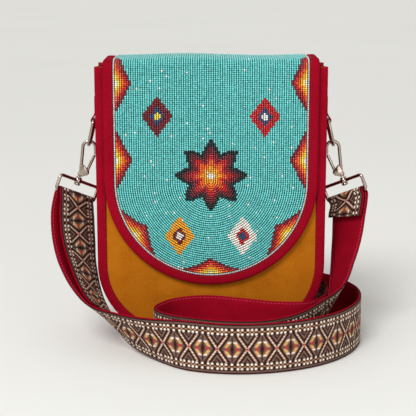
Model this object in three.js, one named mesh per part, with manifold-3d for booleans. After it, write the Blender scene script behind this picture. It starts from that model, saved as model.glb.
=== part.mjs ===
// Beaded crossbody bag: a U-shaped felt pouch with bound edges, a beaded flap that wraps over the mouth,
// a snap hook hanging at each side and a long patterned strap lying in loops round its foot.
// Millimetres, +Z up. The front faces -Y, and the origin is at the middle of the foot.
import * as THREE from 'three';
import { mergeVertices } from 'three/addons/utils/BufferGeometryUtils.js';
import Module from 'manifold-3d';

// Pouch
const BAG_WIDTH = 225;
const BODY_HEIGHT = 271;
const BODY_DEPTH = 52;
const BODY_CORNER_RADIUS = 75;
const FELT_THICKNESS = 3;
const BINDING_WIDTH = 9.5;
const BINDING_CLOTH = 1.2;
const GUSSET_THICKNESS = 2.4;
const GUSSET_INSET = 1.2;

// Flap
const FLAP_WIDTH = 208;
const FLAP_FOOT = 56;
const FLAP_BACKING = 2;
const FLAP_FOLD_RADIUS = 6;
const FLAP_SAG = 1.5;
const FLAP_BACK_LENGTH = 48;
const FLAP_BINDING_WIDTH = 9.5;

// Beadwork
const BEAD_HEIGHT = 2;
const RIDGE_PITCH = 2.2;
const RIDGE_RELIEF = 0.9;
const EDGE_BEAD = 1.8;
const MOTIF_THICKNESS = 0.6;
const MOTIF_STEPS = 6;
const FIRE_LENGTH = 60;
const FIRE_DEPTH = 16;
const FIRE_FOOT_SPACE = 28;
const FIRE_SIDE_SPACE = 15.5;
const FIRE_TOP_SPACE = 13.5;
const STAR_POINTS = 8;
const STAR_RADIUS = 36;
const STAR_NOTCH = 0.62;
const STAR_HEIGHT = 166;
const DIAMOND_WIDTH = 30;
const DIAMOND_HEIGHT = 40;
const DIAMOND_SPREAD = 52;
const DIAMOND_LOWER_SPREAD = 31;
const DIAMOND_UPPER = 224;
const DIAMOND_LOWER = 106;

// Hardware at each side
const WIRE = 3.4;
const D_RING_WIDTH = 25;
const D_RING_DROP = 26;
const D_RING_LEAN = 6;
const D_RING_CORNER = 3;
const TAB_DROP = 54;
const TAB_WIDTH = 17;
const TAB_TAIL = 24;
const TAB_CLOTH = 1.4;
const TAB_WRAP_START = 150;
const HOOK_HEIGHT = 33;
const HOOK_HEAD_RADIUS = 6.2;
const HOOK_FOOT_SHIFT = 3;
const HOOK_NOSE = 5.5;
const GATE_WIDTH = 3;
const GATE_THICKNESS = 2;
const GATE_SEAT = 6;
const GATE_RISE = 1.5;
const GATE_EYE = 2.4;
const GATE_PIN = 1.6;
const CHEEK_RADIUS = 2.7;
const CHEEK_RISE = 7.5;
const CHEEK_THICKNESS = 1.3;
const BALL_RADIUS = 3;
const POST_RADIUS = 1.9;
const POST_FLANGE = 1.2;
const POST_HEAD_RADIUS = 3.2;
const POST_HEAD = 2.4;
const COLLAR_RADIUS = 3.8;
const COLLAR_LENGTH = 4.4;
const RING_CORNER = 3;
const RING_ACROSS = [-0.6, -0.7, 0.385];
const RING_PULL = [-0.33, -0.223, -0.92];
const RING_OFFSET = 2.5;

// Strap
const STRAP_WIDTH = 48;
const BACKING_THICKNESS = 1.2;
const RIBBON_THICKNESS = 0.9;
const STRAP_RING_PLAY = 1.5;
const STRAP_RING_HEIGHT = 15;
const STRAP_SPAN_STEPS = 3;
const STRAP_LEAD = 6;
const STRAP_SKEWED_SPANS = 1;
const STRAP_SQUARE_SPANS = 3;
const TAIL_SHIFT = 3;
const TAIL_BOW = 4;
const TAIL_CLEARANCE = 1.2;
const TAIL_CLOSING_STEP = 12;
const TAIL_STEPS = 18;
const TAB_STEPS = 6;

// Where the strap runs: its middle, and the direction across it towards its upper edge where that leans
const STRAP_RISE_LEFT = [
  [[-142.9, -4, 119], [-0.62, -0.72, 0.31]],
  [[-141.8, -10, 97], [-0.6, -0.75, 0.27]],
  [[-137.6, -21, 74], [-0.48, -0.82, 0.3]],
  [[-126.6, -39, 53], [-0.33, -0.88, 0.34]],
  [[-108.5, -60, 36.5], [-0.2, -0.88, 0.43]],
  [[-83, -84, 27], [-0.1, -0.62, 0.77]],
  [[-54, -105, 23.8], [-0.03, -0.35, 0.93]],
];
const STRAP_ON_EDGE = [
  [-22, -124], [18, -134], [58, -130], [96, -114], [126, -87], [144, -52], [148, -16], [139, 16], [121, 42],
  [96, 57], [66, 62], [44, 57], [40, 47], [56, 40], [84, 39], [109, 31], [117, 8], [115, -20], [108, -44],
  [92, -60], [62, -60], [28, -48], [-4, -39], [-31, -46], [-49, -64], [-53, -84], [-40, -101], [-14, -111],
  [18, -116],
];
const STRAP_RISE_RIGHT = [
  [[52, -113, 24.6], [0, -0.05, 1]],
  [[82, -100, 28], [0.02, -0.12, 0.99]],
  [[104, -79, 36], [0.12, -0.3, 0.95]],
  [[121, -54, 50], [0.3, -0.55, 0.78]],
  [[128.4, -28, 72], [0.46, -0.72, 0.52]],
  [[134.2, -11, 96], [0.57, -0.76, 0.31]],
  [[137.4, -4, 119], [0.6, -0.73, 0.32]],
];

// Clearance between neighbouring pieces, and how finely curves are divided
const GAP = 0.3;
const STRAIGHT = 1e-4;
const ARC_STEPS = 9;
const FLAP_ARC_STEPS = 12;
const CORNER_STEPS = 4;
const BEND_STEPS = 14;
const HOLE_STEPS = 8;
const FOLD_STEPS = 8;
const STEP_SPLIT = 2;
const EDGE_SIDES = 6;
const WIRE_SIDES = 8;
const TURNED_SIDES = 12;

const bodyHalf = BAG_WIDTH / 2;
const flapHalf = FLAP_WIDTH / 2;
const bindingDepth = FELT_THICKNESS + 2 * (BINDING_CLOTH + GAP);
const flapStandoff = BINDING_CLOTH + 2 * GAP;
const flapFace = BODY_DEPTH / 2 + flapStandoff;
const beadBase = FLAP_BACKING + GAP;
const motifBase = beadBase + BEAD_HEIGHT + GAP;
const frontReach = flapFace + motifBase + MOTIF_THICKNESS;
const backReach = flapFace + beadBase + BEAD_HEIGHT;
const flapTop = BODY_HEIGHT + FLAP_FOLD_RADIUS - FLAP_SAG;

const colours = {
  felt: 0xb4670f, redCloth: 0x9c0b26, turquoise: 0x4fb3b0, pearl: 0xd8dde0, fire: 0xd8541c, star: 0x7a1f28,
  diamond: 0xe8a020, nickel: 0xb9b4ae, ribbon: 0x4a2c26,
};

function material(color, rough, metalness = 0) {
  return new THREE.MeshStandardMaterial({ color, roughness: rough, metalness });
}

const roughness = { cloth: 0.9, glass: 0.3, metal: 0.25 };
const felt = material(colours.felt, roughness.cloth);
const redCloth = material(colours.redCloth, roughness.cloth);
const ribbonWeave = material(colours.ribbon, roughness.cloth);
const turquoise = material(colours.turquoise, roughness.glass);
const pearl = material(colours.pearl, roughness.glass);
const fire = material(colours.fire, roughness.glass);
const maroon = material(colours.star, roughness.glass);
const amber = material(colours.diamond, roughness.glass);
const nickel = material(colours.nickel, roughness.metal, 1);

const part = new THREE.Group();
const bag = new THREE.Group();
bag.position.y = (frontReach - backReach) / 2;
part.add(bag);

function add(parent, name, geometry, finish) {
  const mesh = new THREE.Mesh(geometry, finish);
  mesh.name = name;
  parent.add(mesh);
  return mesh;
}

function turnInsideOut(index) {
  for (let i = 0; i < index.length; i += 3) {
    [index[i], index[i + 1]] = [index[i + 1], index[i]];
  }
}

function signedVolume(points, index) {
  let volume = 0;
  for (let i = 0; i < index.length; i += 3) {
    const [a, b, c] = [points[index[i]], points[index[i + 1]], points[index[i + 2]]];
    volume += a.dot(b.clone().cross(c)) / 6;
  }
  return volume;
}

// Triangles of a section's flat end, turning the same way as its outline
function flatEnd(section) {
  const triangles = THREE.ShapeUtils.triangulateShape(section, []);
  const area = triangles.reduce((sum, t) => sum + THREE.ShapeUtils.area(t.map((i) => section[i])), 0);
  const sameWay = area * THREE.ShapeUtils.area(section) > 0;
  return sameWay ? triangles : triangles.map(([p, q, r]) => [q, p, r]);
}

// One closed skin over rings of points that all follow the same section, with flat ends unless it is a loop.
// The second half of a section is split along the same diagonals as the first, so thin twisted layers nest.
function skin(rings, section, loop = false) {
  const count = section.length;
  const points = rings.flat();
  const index = [];
  const spans = loop ? rings.length : rings.length - 1;
  for (let i = 0; i < spans; i++) {
    const here = i * count;
    const next = ((i + 1) % rings.length) * count;
    for (let j = 0; j < count; j++) {
      const k = (j + 1) % count;
      if (j < count / 2) {
        index.push(here + j, next + j, next + k, here + j, next + k, here + k);
      } else {
        index.push(here + j, next + j, here + k, next + j, next + k, here + k);
      }
    }
  }
  if (!loop) {
    const end = (rings.length - 1) * count;
    for (const [p, q, r] of flatEnd(section)) {
      index.push(p, q, r, end + r, end + q, end + p);
    }
  }
  if (signedVolume(points, index) < 0) {
    turnInsideOut(index);
  }
  const geometry = new THREE.BufferGeometry().setFromPoints(points);
  geometry.setIndex(index);
  return geometry;
}

function mirrored(geometry) {
  const copy = geometry.clone().scale(-1, 1, 1);
  const index = copy.index ? Array.from(copy.index.array) : [...Array(copy.attributes.position.count).keys()];
  turnInsideOut(index);
  copy.setIndex(index);
  return copy;
}

function boxSection(low, high, under, over) {
  return [[low, under], [high, under], [high, over], [low, over]].map(([a, h]) => new THREE.Vector2(a, h));
}

function roundSection(radius, sides = WIRE_SIDES) {
  return Array.from({ length: sides }, (_, i) => {
    const angle = (2 * Math.PI * (i + 0.5)) / sides;
    return new THREE.Vector2(radius * Math.cos(angle), radius * Math.sin(angle));
  });
}

// A folded strip of cloth: its closed edge is outermost and its slot holds the edge of a sheet.
function channelSection(width, sheet) {
  const inner = BINDING_CLOTH + GAP;
  const over = sheet + inner;
  const lip = BINDING_CLOTH;
  const bevel = BINDING_CLOTH;
  return [
    [bevel, -inner], [width, -inner], [width, -inner + lip], [inner, -GAP], [inner, sheet + GAP],
    [width, over - lip], [width, over], [bevel, over], [0, over - bevel], [0, -inner + bevel],
  ].map(([a, h]) => new THREE.Vector2(a, h));
}

// A U in the plane of a sheet, inset from its outline: the left side down, round the foot, the right side up.
// Sides are crossed at the given levels, from the highest to the start of the corner.
function uLine(u, inset, levels) {
  const cornerX = u.half - u.radius;
  const cornerV = u.foot + u.radius;
  const left = levels.map((v) => [-(u.half - inset), v]);
  for (let i = 0; i <= u.arcSteps; i++) {
    const angle = Math.PI + (Math.PI / 2) * (i / u.arcSteps);
    const radius = u.radius - inset;
    left.push([-cornerX + radius * Math.cos(angle), cornerV + radius * Math.sin(angle)]);
  }
  const right = left.map(([x, v]) => [-x, v]).reverse();
  return cornerX > 0 ? [...left, ...right] : [...left, ...right.slice(1)];
}

// A section of (inset, height over the sheet) carried round a U, each point laid on the sheet.
function roundTheU(u, section, levels, lay) {
  const lines = section.map((s) => uLine(u, s.x, levels));
  const rings = lines[0].map((_, i) => section.map((s, j) => lay(lines[j][i][0], lines[j][i][1], s.y)));
  return skin(rings, section);
}

// Pouch: two felt panels, a cloth gusset between them and a bound edge round each panel
const bodyU = { half: bodyHalf, radius: BODY_CORNER_RADIUS, foot: 0, arcSteps: ARC_STEPS };
const bodyLevels = [BODY_HEIGHT];
const panelFace = BODY_DEPTH / 2 - BINDING_CLOTH - GAP;
const panelBack = panelFace - FELT_THICKNESS;

function onFront(x, v, h) {
  return new THREE.Vector3(x, -panelBack - h, v);
}

function onBack(x, v, h) {
  return new THREE.Vector3(x, panelBack + h, v);
}

function onMiddle(x, v, h) {
  return new THREE.Vector3(x, h, v);
}

function panel(lay) {
  const edge = uLine(bodyU, BINDING_CLOTH + 2 * GAP, bodyLevels);
  const outline = edge.map(([x, v]) => new THREE.Vector2(x, v));
  const faces = [0, FELT_THICKNESS].map((h) => outline.map((p) => lay(p.x, p.y, h)));
  return skin(faces, outline);
}

const bodyBinding = channelSection(BINDING_WIDTH, FELT_THICKNESS);
const gussetReach = BODY_DEPTH / 2 - bindingDepth - GAP;
const gussetSection = boxSection(GUSSET_INSET, GUSSET_INSET + GUSSET_THICKNESS, -gussetReach, gussetReach);

add(bag, 'front_panel', panel(onFront), felt);
add(bag, 'back_panel', panel(onBack), felt);
add(bag, 'front_binding', roundTheU(bodyU, bodyBinding, bodyLevels, onFront), redCloth);
add(bag, 'back_binding', roundTheU(bodyU, bodyBinding, bodyLevels, onBack), redCloth);
add(bag, 'gusset', roundTheU(bodyU, gussetSection, bodyLevels, onMiddle), redCloth);

// Flap: a sheet that rises over the front, folds over the mouth and is sewn down the back.
// Its length is measured up the front from the level of the foot of the bag.
const flapU = { half: flapHalf, radius: flapHalf, foot: FLAP_FOOT, arcSteps: FLAP_ARC_STEPS };
const foldStart = flapTop - FLAP_FOLD_RADIUS;
const foldArc = (Math.PI / 2) * FLAP_FOLD_RADIUS;
const foldFlat = 2 * (flapFace - FLAP_FOLD_RADIUS);
const foldEnd = foldStart + 2 * foldArc + foldFlat;
const flapEnd = foldEnd + FLAP_BACK_LENGTH;

function onFlap(x, v, h) {
  const radius = FLAP_FOLD_RADIUS + h;
  const centreY = flapFace - FLAP_FOLD_RADIUS;
  if (v <= foldStart) {
    return new THREE.Vector3(x, -flapFace - h, v);
  }
  if (v <= foldStart + foldArc) {
    const angle = (v - foldStart) / FLAP_FOLD_RADIUS;
    return new THREE.Vector3(x, -centreY - radius * Math.cos(angle), foldStart + radius * Math.sin(angle));
  }
  if (v <= foldEnd - foldArc) {
    return new THREE.Vector3(x, -centreY + v - foldStart - foldArc, foldStart + radius);
  }
  if (v <= foldEnd) {
    const angle = (foldEnd - v) / FLAP_FOLD_RADIUS;
    return new THREE.Vector3(x, centreY + radius * Math.cos(angle), foldStart + radius * Math.sin(angle));
  }
  return new THREE.Vector3(x, flapFace + h, foldStart + foldEnd - v);
}

function arcLevels(from) {
  return [1, 0.75, 0.5, 0.25, 0].map((share) => from + share * foldArc);
}

const foldLevels = [...arcLevels(foldEnd - foldArc), ...arcLevels(foldStart)];
const flapLevels = [flapEnd, ...foldLevels];
const flapInset = BINDING_CLOTH + 2 * GAP;

// The backing is a stack of bars from the round foot up, over the fold and down the back.
function flapBar(half, v) {
  return boxSection(-half, half, 0, FLAP_BACKING).map((s) => onFlap(s.x, v, s.y));
}

function flapBacking() {
  const radius = flapHalf - flapInset;
  const bars = [];
  for (let i = 1; i <= FLAP_ARC_STEPS; i++) {
    const angle = (Math.PI / 2) * (i / FLAP_ARC_STEPS);
    bars.push(flapBar(radius * Math.sin(angle), FLAP_FOOT + flapHalf - radius * Math.cos(angle)));
  }
  for (const v of [...flapLevels].reverse()) {
    bars.push(flapBar(radius, v));
  }
  return skin(bars, boxSection(-radius, radius, 0, FLAP_BACKING));
}

const flapBinding = channelSection(FLAP_BINDING_WIDTH, FLAP_BACKING);
add(bag, 'flap_backing', flapBacking(), felt);
add(bag, 'flap_binding', roundTheU(flapU, flapBinding, flapLevels, onFlap), redCloth);

// Beadwork: lanes of beads lie in nested Us, with one straight lane up the middle and a pale row at the edge
const edgeInset = FLAP_BINDING_WIDTH + GAP;
const fieldInset = edgeInset + EDGE_BEAD + GAP;
const laneHalf = BEAD_HEIGHT / 2;
const fieldReach = flapHalf - fieldInset - laneHalf - GAP;
const ridges = Math.round(fieldReach / RIDGE_PITCH);
const ridgePitch = fieldReach / ridges;

function ridgedSection() {
  const crest = beadBase + BEAD_HEIGHT;
  const section = [
    new THREE.Vector2(fieldInset, beadBase),
    new THREE.Vector2(fieldInset, crest - RIDGE_RELIEF),
  ];
  for (let i = 0; i < ridges; i++) {
    section.push(new THREE.Vector2(fieldInset + (i + 0.5) * ridgePitch, crest));
    section.push(new THREE.Vector2(fieldInset + (i + 1) * ridgePitch, crest - RIDGE_RELIEF));
  }
  section.push(new THREE.Vector2(fieldInset + fieldReach, beadBase));
  return section;
}

function centreLane() {
  const section = boxSection(-laneHalf, laneHalf, beadBase, beadBase + BEAD_HEIGHT);
  const levels = [...foldLevels, FLAP_FOOT + flapHalf];
  return skin(levels.map((v) => section.map((s) => onFlap(s.x, v, s.y))), section);
}

const edgeSection = roundSection(EDGE_BEAD / 2, EDGE_SIDES).map((p) => new THREE.Vector2(
  edgeInset + EDGE_BEAD / 2 + p.x, beadBase + EDGE_BEAD / 2 + p.y));
add(bag, 'bead_field', roundTheU(flapU, ridgedSection(), foldLevels, onFlap), turquoise);
add(bag, 'centre_bead_lane', centreLane(), turquoise);
add(bag, 'edge_bead_row', roundTheU(flapU, edgeSection, foldLevels, onFlap), pearl);

// A motif is a thin field of colour on the beads, cut from an outline on the flat of the flap
function motif(outline) {
  const faces = [motifBase, motifBase + MOTIF_THICKNESS].map((h) => outline.map((p) => onFlap(p.x, p.y, h)));
  return skin(faces, outline);
}

// Corners of a stepped pyramid, as (along, in) pairs from one foot over the peak to the other
function steps(length, depth) {
  const rise = [];
  for (let i = 0; i < MOTIF_STEPS; i++) {
    const along = (length / 2) * (1 - i / MOTIF_STEPS);
    rise.push([-along, (depth * i) / MOTIF_STEPS], [-along, (depth * (i + 1)) / MOTIF_STEPS]);
  }
  return [...rise, ...rise.map(([along, inward]) => [-along, inward]).reverse()];
}

// A point of the beaded edge at a distance along it from the middle of the foot, moved inwards
function onBeadEdge(along, inward) {
  const radius = flapHalf - fieldInset;
  const quarter = (Math.PI / 2) * radius;
  const reach = radius - inward;
  const centreV = FLAP_FOOT + flapHalf;
  if (Math.abs(along) > quarter) {
    return new THREE.Vector2(Math.sign(along) * reach, centreV + Math.abs(along) - quarter);
  }
  const angle = along / radius;
  return new THREE.Vector2(reach * Math.sin(angle), centreV - reach * Math.cos(angle));
}

// An outline without repeated points and points that lie on a straight edge
function cornersOnly(outline) {
  const apart = outline.filter((p, i) => p.distanceTo(outline[(i + 1) % outline.length]) > GAP / 2);
  return apart.filter((p, i) => {
    const before = p.clone().sub(apart.at(i - 1)).normalize();
    const after = apart[(i + 1) % apart.length].clone().sub(p).normalize();
    return Math.abs(before.cross(after)) > STRAIGHT;
  });
}

function fireMotif(middle) {
  const limit = foldStart - FLAP_FOOT - flapHalf + (Math.PI / 2) * (flapHalf - fieldInset);
  const corners = steps(FIRE_LENGTH, FIRE_DEPTH);
  const outline = [];
  corners.forEach(([along, inward], i) => {
    const [nextAlong, nextInward] = corners[(i + 1) % corners.length];
    const parts = i === corners.length - 1 ? 2 * MOTIF_STEPS : STEP_SPLIT;
    for (let k = 0; k < parts; k++) {
      const place = middle + along + ((nextAlong - along) * k) / parts;
      const kept = THREE.MathUtils.clamp(place, -limit, limit);
      outline.push(onBeadEdge(kept, inward + ((nextInward - inward) * k) / parts));
    }
  });
  return motif(cornersOnly(outline));
}

const fireLow = FIRE_LENGTH + FIRE_FOOT_SPACE;
const fireMiddle = fireLow + FIRE_LENGTH + FIRE_SIDE_SPACE;
const fireHigh = fireMiddle + FIRE_LENGTH + FIRE_TOP_SPACE;
const firePlaces = { foot: 0, low: fireLow, middle: fireMiddle, high: fireHigh };
for (const [place, along] of Object.entries(firePlaces)) {
  if (along === 0) {
    add(bag, `fire_motif_${place}`, fireMotif(along), fire);
  } else {
    add(bag, `fire_motif_${place}_left`, fireMotif(-along), fire);
    add(bag, `fire_motif_${place}_right`, fireMotif(along), fire);
  }
}

function starMotif() {
  const outline = Array.from({ length: 2 * STAR_POINTS }, (_, i) => {
    const radius = i % 2 ? STAR_RADIUS * STAR_NOTCH : STAR_RADIUS;
    const angle = (Math.PI * i) / STAR_POINTS;
    return new THREE.Vector2(radius * Math.sin(angle), STAR_HEIGHT + radius * Math.cos(angle));
  });
  return motif(outline);
}

function diamondMotif(x, v) {
  const upper = steps(DIAMOND_WIDTH, DIAMOND_HEIGHT / 2);
  const lower = upper.map(([along, inward]) => [along, -inward]).reverse();
  const corners = [...upper.slice(1), ...lower.slice(1)];
  const flat = corners.filter(([, inward]) => Math.abs(inward) > GAP);
  return motif(flat.map(([along, inward]) => new THREE.Vector2(x + along, v + inward)));
}

add(bag, 'star_motif', starMotif(), maroon);
const diamondPlaces = [
  ['upper', DIAMOND_SPREAD, DIAMOND_UPPER],
  ['lower', DIAMOND_LOWER_SPREAD, DIAMOND_LOWER],
];
for (const [level, x, v] of diamondPlaces) {
  add(bag, `diamond_motif_${level}_left`, diamondMotif(-x, v), amber);
  add(bag, `diamond_motif_${level}_right`, diamondMotif(x, v), amber);
}

// Hardware: at each side a cloth tab holds a ring, a snap hook hangs in the ring, and the hook's swivel
// carries the ring that the strap is folded over. The left side is built, and the right is its mirror.
const gussetFace = bodyHalf - GUSSET_INSET;
const tabHeight = BODY_HEIGHT - TAB_DROP;
const barReach = gussetFace + GAP + TAB_CLOTH + GAP + WIRE / 2;
const barPlace = new THREE.Vector3(-barReach, 0, tabHeight);

function eachSide(name, geometry, finish) {
  add(part, `left_${name}`, geometry, finish);
  add(part, `right_${name}`, mirrored(geometry), finish);
}

function arcPoints(centre, radius, from, to, count) {
  return Array.from({ length: count + 1 }, (_, i) => {
    const angle = THREE.MathUtils.degToRad(from + ((to - from) * i) / count);
    return new THREE.Vector2(centre[0] + radius * Math.cos(angle), centre[1] + radius * Math.sin(angle));
  });
}

// A round wire along points of a plane. Its section turns with the path and keeps one axis on the normal.
function wire(points, normal, radius, loop = false) {
  const section = roundSection(radius);
  const last = points.length - 1;
  const rings = points.map((point, i) => {
    const before = points[loop ? (i + last) % points.length : Math.max(i - 1, 0)];
    const after = points[loop ? (i + 1) % points.length : Math.min(i + 1, last)];
    const side = after.clone().sub(before).cross(normal).normalize();
    return section.map((s) => point.clone().addScaledVector(normal, s.x).addScaledVector(side, s.y));
  });
  return skin(rings, section, loop);
}

// A flat plate cut from a shape in the X-Z plane, its thickness centred on Y
function plate(shape, thickness, middle = 0) {
  const options = { depth: thickness, bevelEnabled: false, curveSegments: HOLE_STEPS };
  const lying = new THREE.ExtrudeGeometry(shape, options);
  return lying.rotateX(Math.PI / 2).translate(0, middle + thickness / 2, 0);
}

function circleHole(x, z, radius) {
  return new THREE.Path().absarc(x, z, radius, 0, 2 * Math.PI, true);
}

function ringTab() {
  const outer = WIRE / 2 + GAP + TAB_CLOTH;
  const inner = gussetFace + GAP;
  const pair = inner + 2 * TAB_CLOTH;
  const shape = new THREE.Shape();
  shape.moveTo(-inner, tabHeight + TAB_TAIL);
  shape.lineTo(-pair, tabHeight + TAB_TAIL);
  shape.lineTo(-pair, tabHeight + 2 * outer);
  shape.absarc(-barReach, tabHeight, outer, THREE.MathUtils.degToRad(TAB_WRAP_START), 2 * Math.PI, false);
  shape.closePath();
  shape.holes.push(circleHole(-barReach, tabHeight, WIRE / 2 + GAP));
  return plate(shape, TAB_WIDTH);
}

const ringFall = Math.sqrt(D_RING_DROP ** 2 - D_RING_LEAN ** 2);
const ringDown = new THREE.Vector3(-D_RING_LEAN, 0, -ringFall).normalize();

function dRing() {
  const half = D_RING_WIDTH / 2;
  const flat = [
    ...arcPoints([-half + D_RING_CORNER, D_RING_CORNER], D_RING_CORNER, 180, 270, CORNER_STEPS),
    ...arcPoints([half - D_RING_CORNER, D_RING_CORNER], D_RING_CORNER, 270, 360, CORNER_STEPS),
    ...arcPoints([0, D_RING_DROP - half], half, 0, 180, BEND_STEPS),
  ];
  const points = flat.map((p) => new THREE.Vector3(0, p.x, 0).add(barPlace).addScaledVector(ringDown, p.y));
  const normal = new THREE.Vector3(0, 1, 0).cross(ringDown).normalize();
  return wire(points, normal, WIRE / 2, true);
}

eachSide('ring_tab', ringTab(), redCloth);
eachSide('d_ring', dRing(), nickel);

// Snap hook: a bent wire whose head rides on the ring, with two cheeks at its foot that hold the gate's pin
const ringBottom = barPlace.clone().addScaledVector(ringDown, D_RING_DROP);
const headTop = ringBottom.z + WIRE + GAP;
const headX = ringBottom.x;
const headZ = headTop - HOOK_HEAD_RADIUS;
const hookFoot = new THREE.Vector3(headX - HOOK_HEAD_RADIUS - HOOK_FOOT_SHIFT, 0, headTop - HOOK_HEIGHT);
const noseTip = new THREE.Vector3(headX + HOOK_HEAD_RADIUS, 0, headZ - HOOK_NOSE);
const gatePivot = hookFoot.clone().add(new THREE.Vector3(GATE_SEAT, 0, GATE_RISE));
const inPlane = new THREE.Vector3(0, 1, 0);

const wasm = await Module();
wasm.setup();

function solid(geometry) {
  const bare = new THREE.BufferGeometry().setAttribute('position', geometry.attributes.position.clone());
  bare.setIndex(geometry.index);
  const merged = mergeVertices(bare);
  const mesh = new wasm.Mesh({
    numProp: 3,
    vertProperties: new Float32Array(merged.attributes.position.array),
    triVerts: new Uint32Array(merged.index.array),
  });
  return new wasm.Manifold(mesh);
}

function fromSolid(body) {
  const mesh = body.getMesh();
  const geometry = new THREE.BufferGeometry();
  geometry.setAttribute('position', new THREE.BufferAttribute(new Float32Array(mesh.vertProperties), 3));
  geometry.setIndex(Array.from(mesh.triVerts));
  return geometry;
}

function cheek(side) {
  const shape = new THREE.Shape();
  const across = Math.atan2(GATE_RISE, GATE_SEAT);
  shape.absarc(hookFoot.x, hookFoot.z, CHEEK_RADIUS, across + Math.PI / 2, across + 1.5 * Math.PI, false);
  shape.absarc(gatePivot.x, gatePivot.z, CHEEK_RADIUS, across - Math.PI / 2, across + Math.PI / 2, false);
  shape.lineTo((hookFoot.x + gatePivot.x) / 2, gatePivot.z + CHEEK_RISE);
  shape.closePath();
  shape.holes.push(circleHole(gatePivot.x, gatePivot.z, GATE_PIN / 2 + GAP));
  return plate(shape, CHEEK_THICKNESS, side * (GATE_THICKNESS / 2 + GAP + CHEEK_THICKNESS / 2));
}

function hook() {
  const flat = [
    new THREE.Vector2(noseTip.x, noseTip.z),
    ...arcPoints([headX, headZ], HOOK_HEAD_RADIUS, 0, 180, BEND_STEPS),
    new THREE.Vector2(hookFoot.x, hookFoot.z),
  ];
  const bent = wire(flat.map((p) => new THREE.Vector3(p.x, 0, p.y)), inPlane, WIRE / 2);
  const ball = new THREE.SphereGeometry(BALL_RADIUS, TURNED_SIDES, WIRE_SIDES);
  ball.translate(hookFoot.x, 0, hookFoot.z);
  const parts = [bent, ball, cheek(1), cheek(-1)].map(solid);
  return fromSolid(parts.reduce((joined, next) => joined.add(next)));
}

function gate() {
  const reach = noseTip.clone().sub(gatePivot);
  const lean = Math.atan2(reach.x, reach.z);
  const length = reach.length() - WIRE / 2 - 2 * GAP;
  const bend = Math.asin(GATE_WIDTH / 2 / GATE_EYE);
  const shape = new THREE.Shape();
  shape.moveTo(GATE_WIDTH / 2, length);
  shape.lineTo(-GATE_WIDTH / 2, length);
  shape.absarc(0, 0, GATE_EYE, Math.PI / 2 + bend, 2.5 * Math.PI - bend, false);
  shape.closePath();
  shape.holes.push(circleHole(0, 0, GATE_PIN / 2 + GAP));
  return plate(shape, GATE_THICKNESS).rotateY(lean).translate(gatePivot.x, 0, gatePivot.z);
}

const pinLength = GATE_THICKNESS + 2 * (GAP + CHEEK_THICKNESS);
const gatePin = new THREE.CylinderGeometry(GATE_PIN / 2, GATE_PIN / 2, pinLength, TURNED_SIDES);
gatePin.translate(gatePivot.x, 0, gatePivot.z);
eachSide('hook', hook(), nickel);
eachSide('gate', gate(), nickel);
eachSide('gate_pin', gatePin, nickel);

// Swivel and strap ring, built along the strap's pull and then turned to it
const across = new THREE.Vector3(...RING_ACROSS).normalize();
const pull = new THREE.Vector3(...RING_PULL);
pull.addScaledVector(across, -across.dot(pull)).normalize();
const outward = across.clone().cross(pull.clone().negate());
const toRing = new THREE.Matrix4().makeBasis(across, outward, pull).setPosition(hookFoot);
const collarTop = BALL_RADIUS + GAP + POST_FLANGE + GAP;
const ringBar = collarTop + COLLAR_LENGTH / 2;
const collarEnd = collarTop + COLLAR_LENGTH;
const strapBar = hookFoot.clone().addScaledVector(pull, ringBar + STRAP_RING_HEIGHT);
strapBar.addScaledVector(across, -RING_OFFSET);

// A turned piece whose profile of (radius, distance along the pull) closes on the axis or on itself
function turned(profile, sides) {
  const shape = new THREE.LatheGeometry(profile.map(([r, along]) => new THREE.Vector2(r, along)), sides);
  return shape.rotateX(Math.PI / 2);
}

function placed(geometry) {
  return geometry.applyMatrix4(toRing);
}

function swivelPost() {
  const start = BALL_RADIUS + GAP;
  const flangeEnd = start + POST_FLANGE;
  const headStart = collarEnd + GAP;
  return turned([
    [0, start], [POST_HEAD_RADIUS, start], [POST_HEAD_RADIUS, flangeEnd], [POST_RADIUS, flangeEnd],
    [POST_RADIUS, headStart], [POST_HEAD_RADIUS, headStart], [POST_HEAD_RADIUS, headStart + POST_HEAD],
    [0, headStart + POST_HEAD],
  ], TURNED_SIDES);
}

// The strap's ring, which hangs a little off the swivel's axis, towards the bag
function strapRing() {
  const half = STRAP_WIDTH / 2 + STRAP_RING_PLAY + WIRE / 2;
  const low = ringBar + STRAP_RING_HEIGHT;
  const flat = [
    ...arcPoints([-half + RING_CORNER, ringBar + RING_CORNER], RING_CORNER, 180, 270, CORNER_STEPS),
    ...arcPoints([half - RING_CORNER, ringBar + RING_CORNER], RING_CORNER, 270, 360, CORNER_STEPS),
    ...arcPoints([half - RING_CORNER, low - RING_CORNER], RING_CORNER, 0, 90, CORNER_STEPS),
    ...arcPoints([-half + RING_CORNER, low - RING_CORNER], RING_CORNER, 90, 180, CORNER_STEPS),
  ];
  const loop = wire(flat.map((p) => new THREE.Vector3(p.x - RING_OFFSET, 0, p.y)), inPlane, WIRE / 2, true);
  const collar = turned([
    [0, collarTop], [COLLAR_RADIUS, collarTop], [COLLAR_RADIUS, collarEnd], [0, collarEnd],
  ], TURNED_SIDES);
  const bore = turned([
    [0, collarTop - GAP], [POST_RADIUS + GAP, collarTop - GAP], [POST_RADIUS + GAP, collarEnd + GAP],
    [0, collarEnd + GAP],
  ], TURNED_SIDES);
  return fromSolid(solid(loop).add(solid(collar)).subtract(solid(bore)));
}

eachSide('swivel_post', placed(swivelPost()), nickel);
eachSide('strap_ring', placed(strapRing()), nickel);

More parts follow.
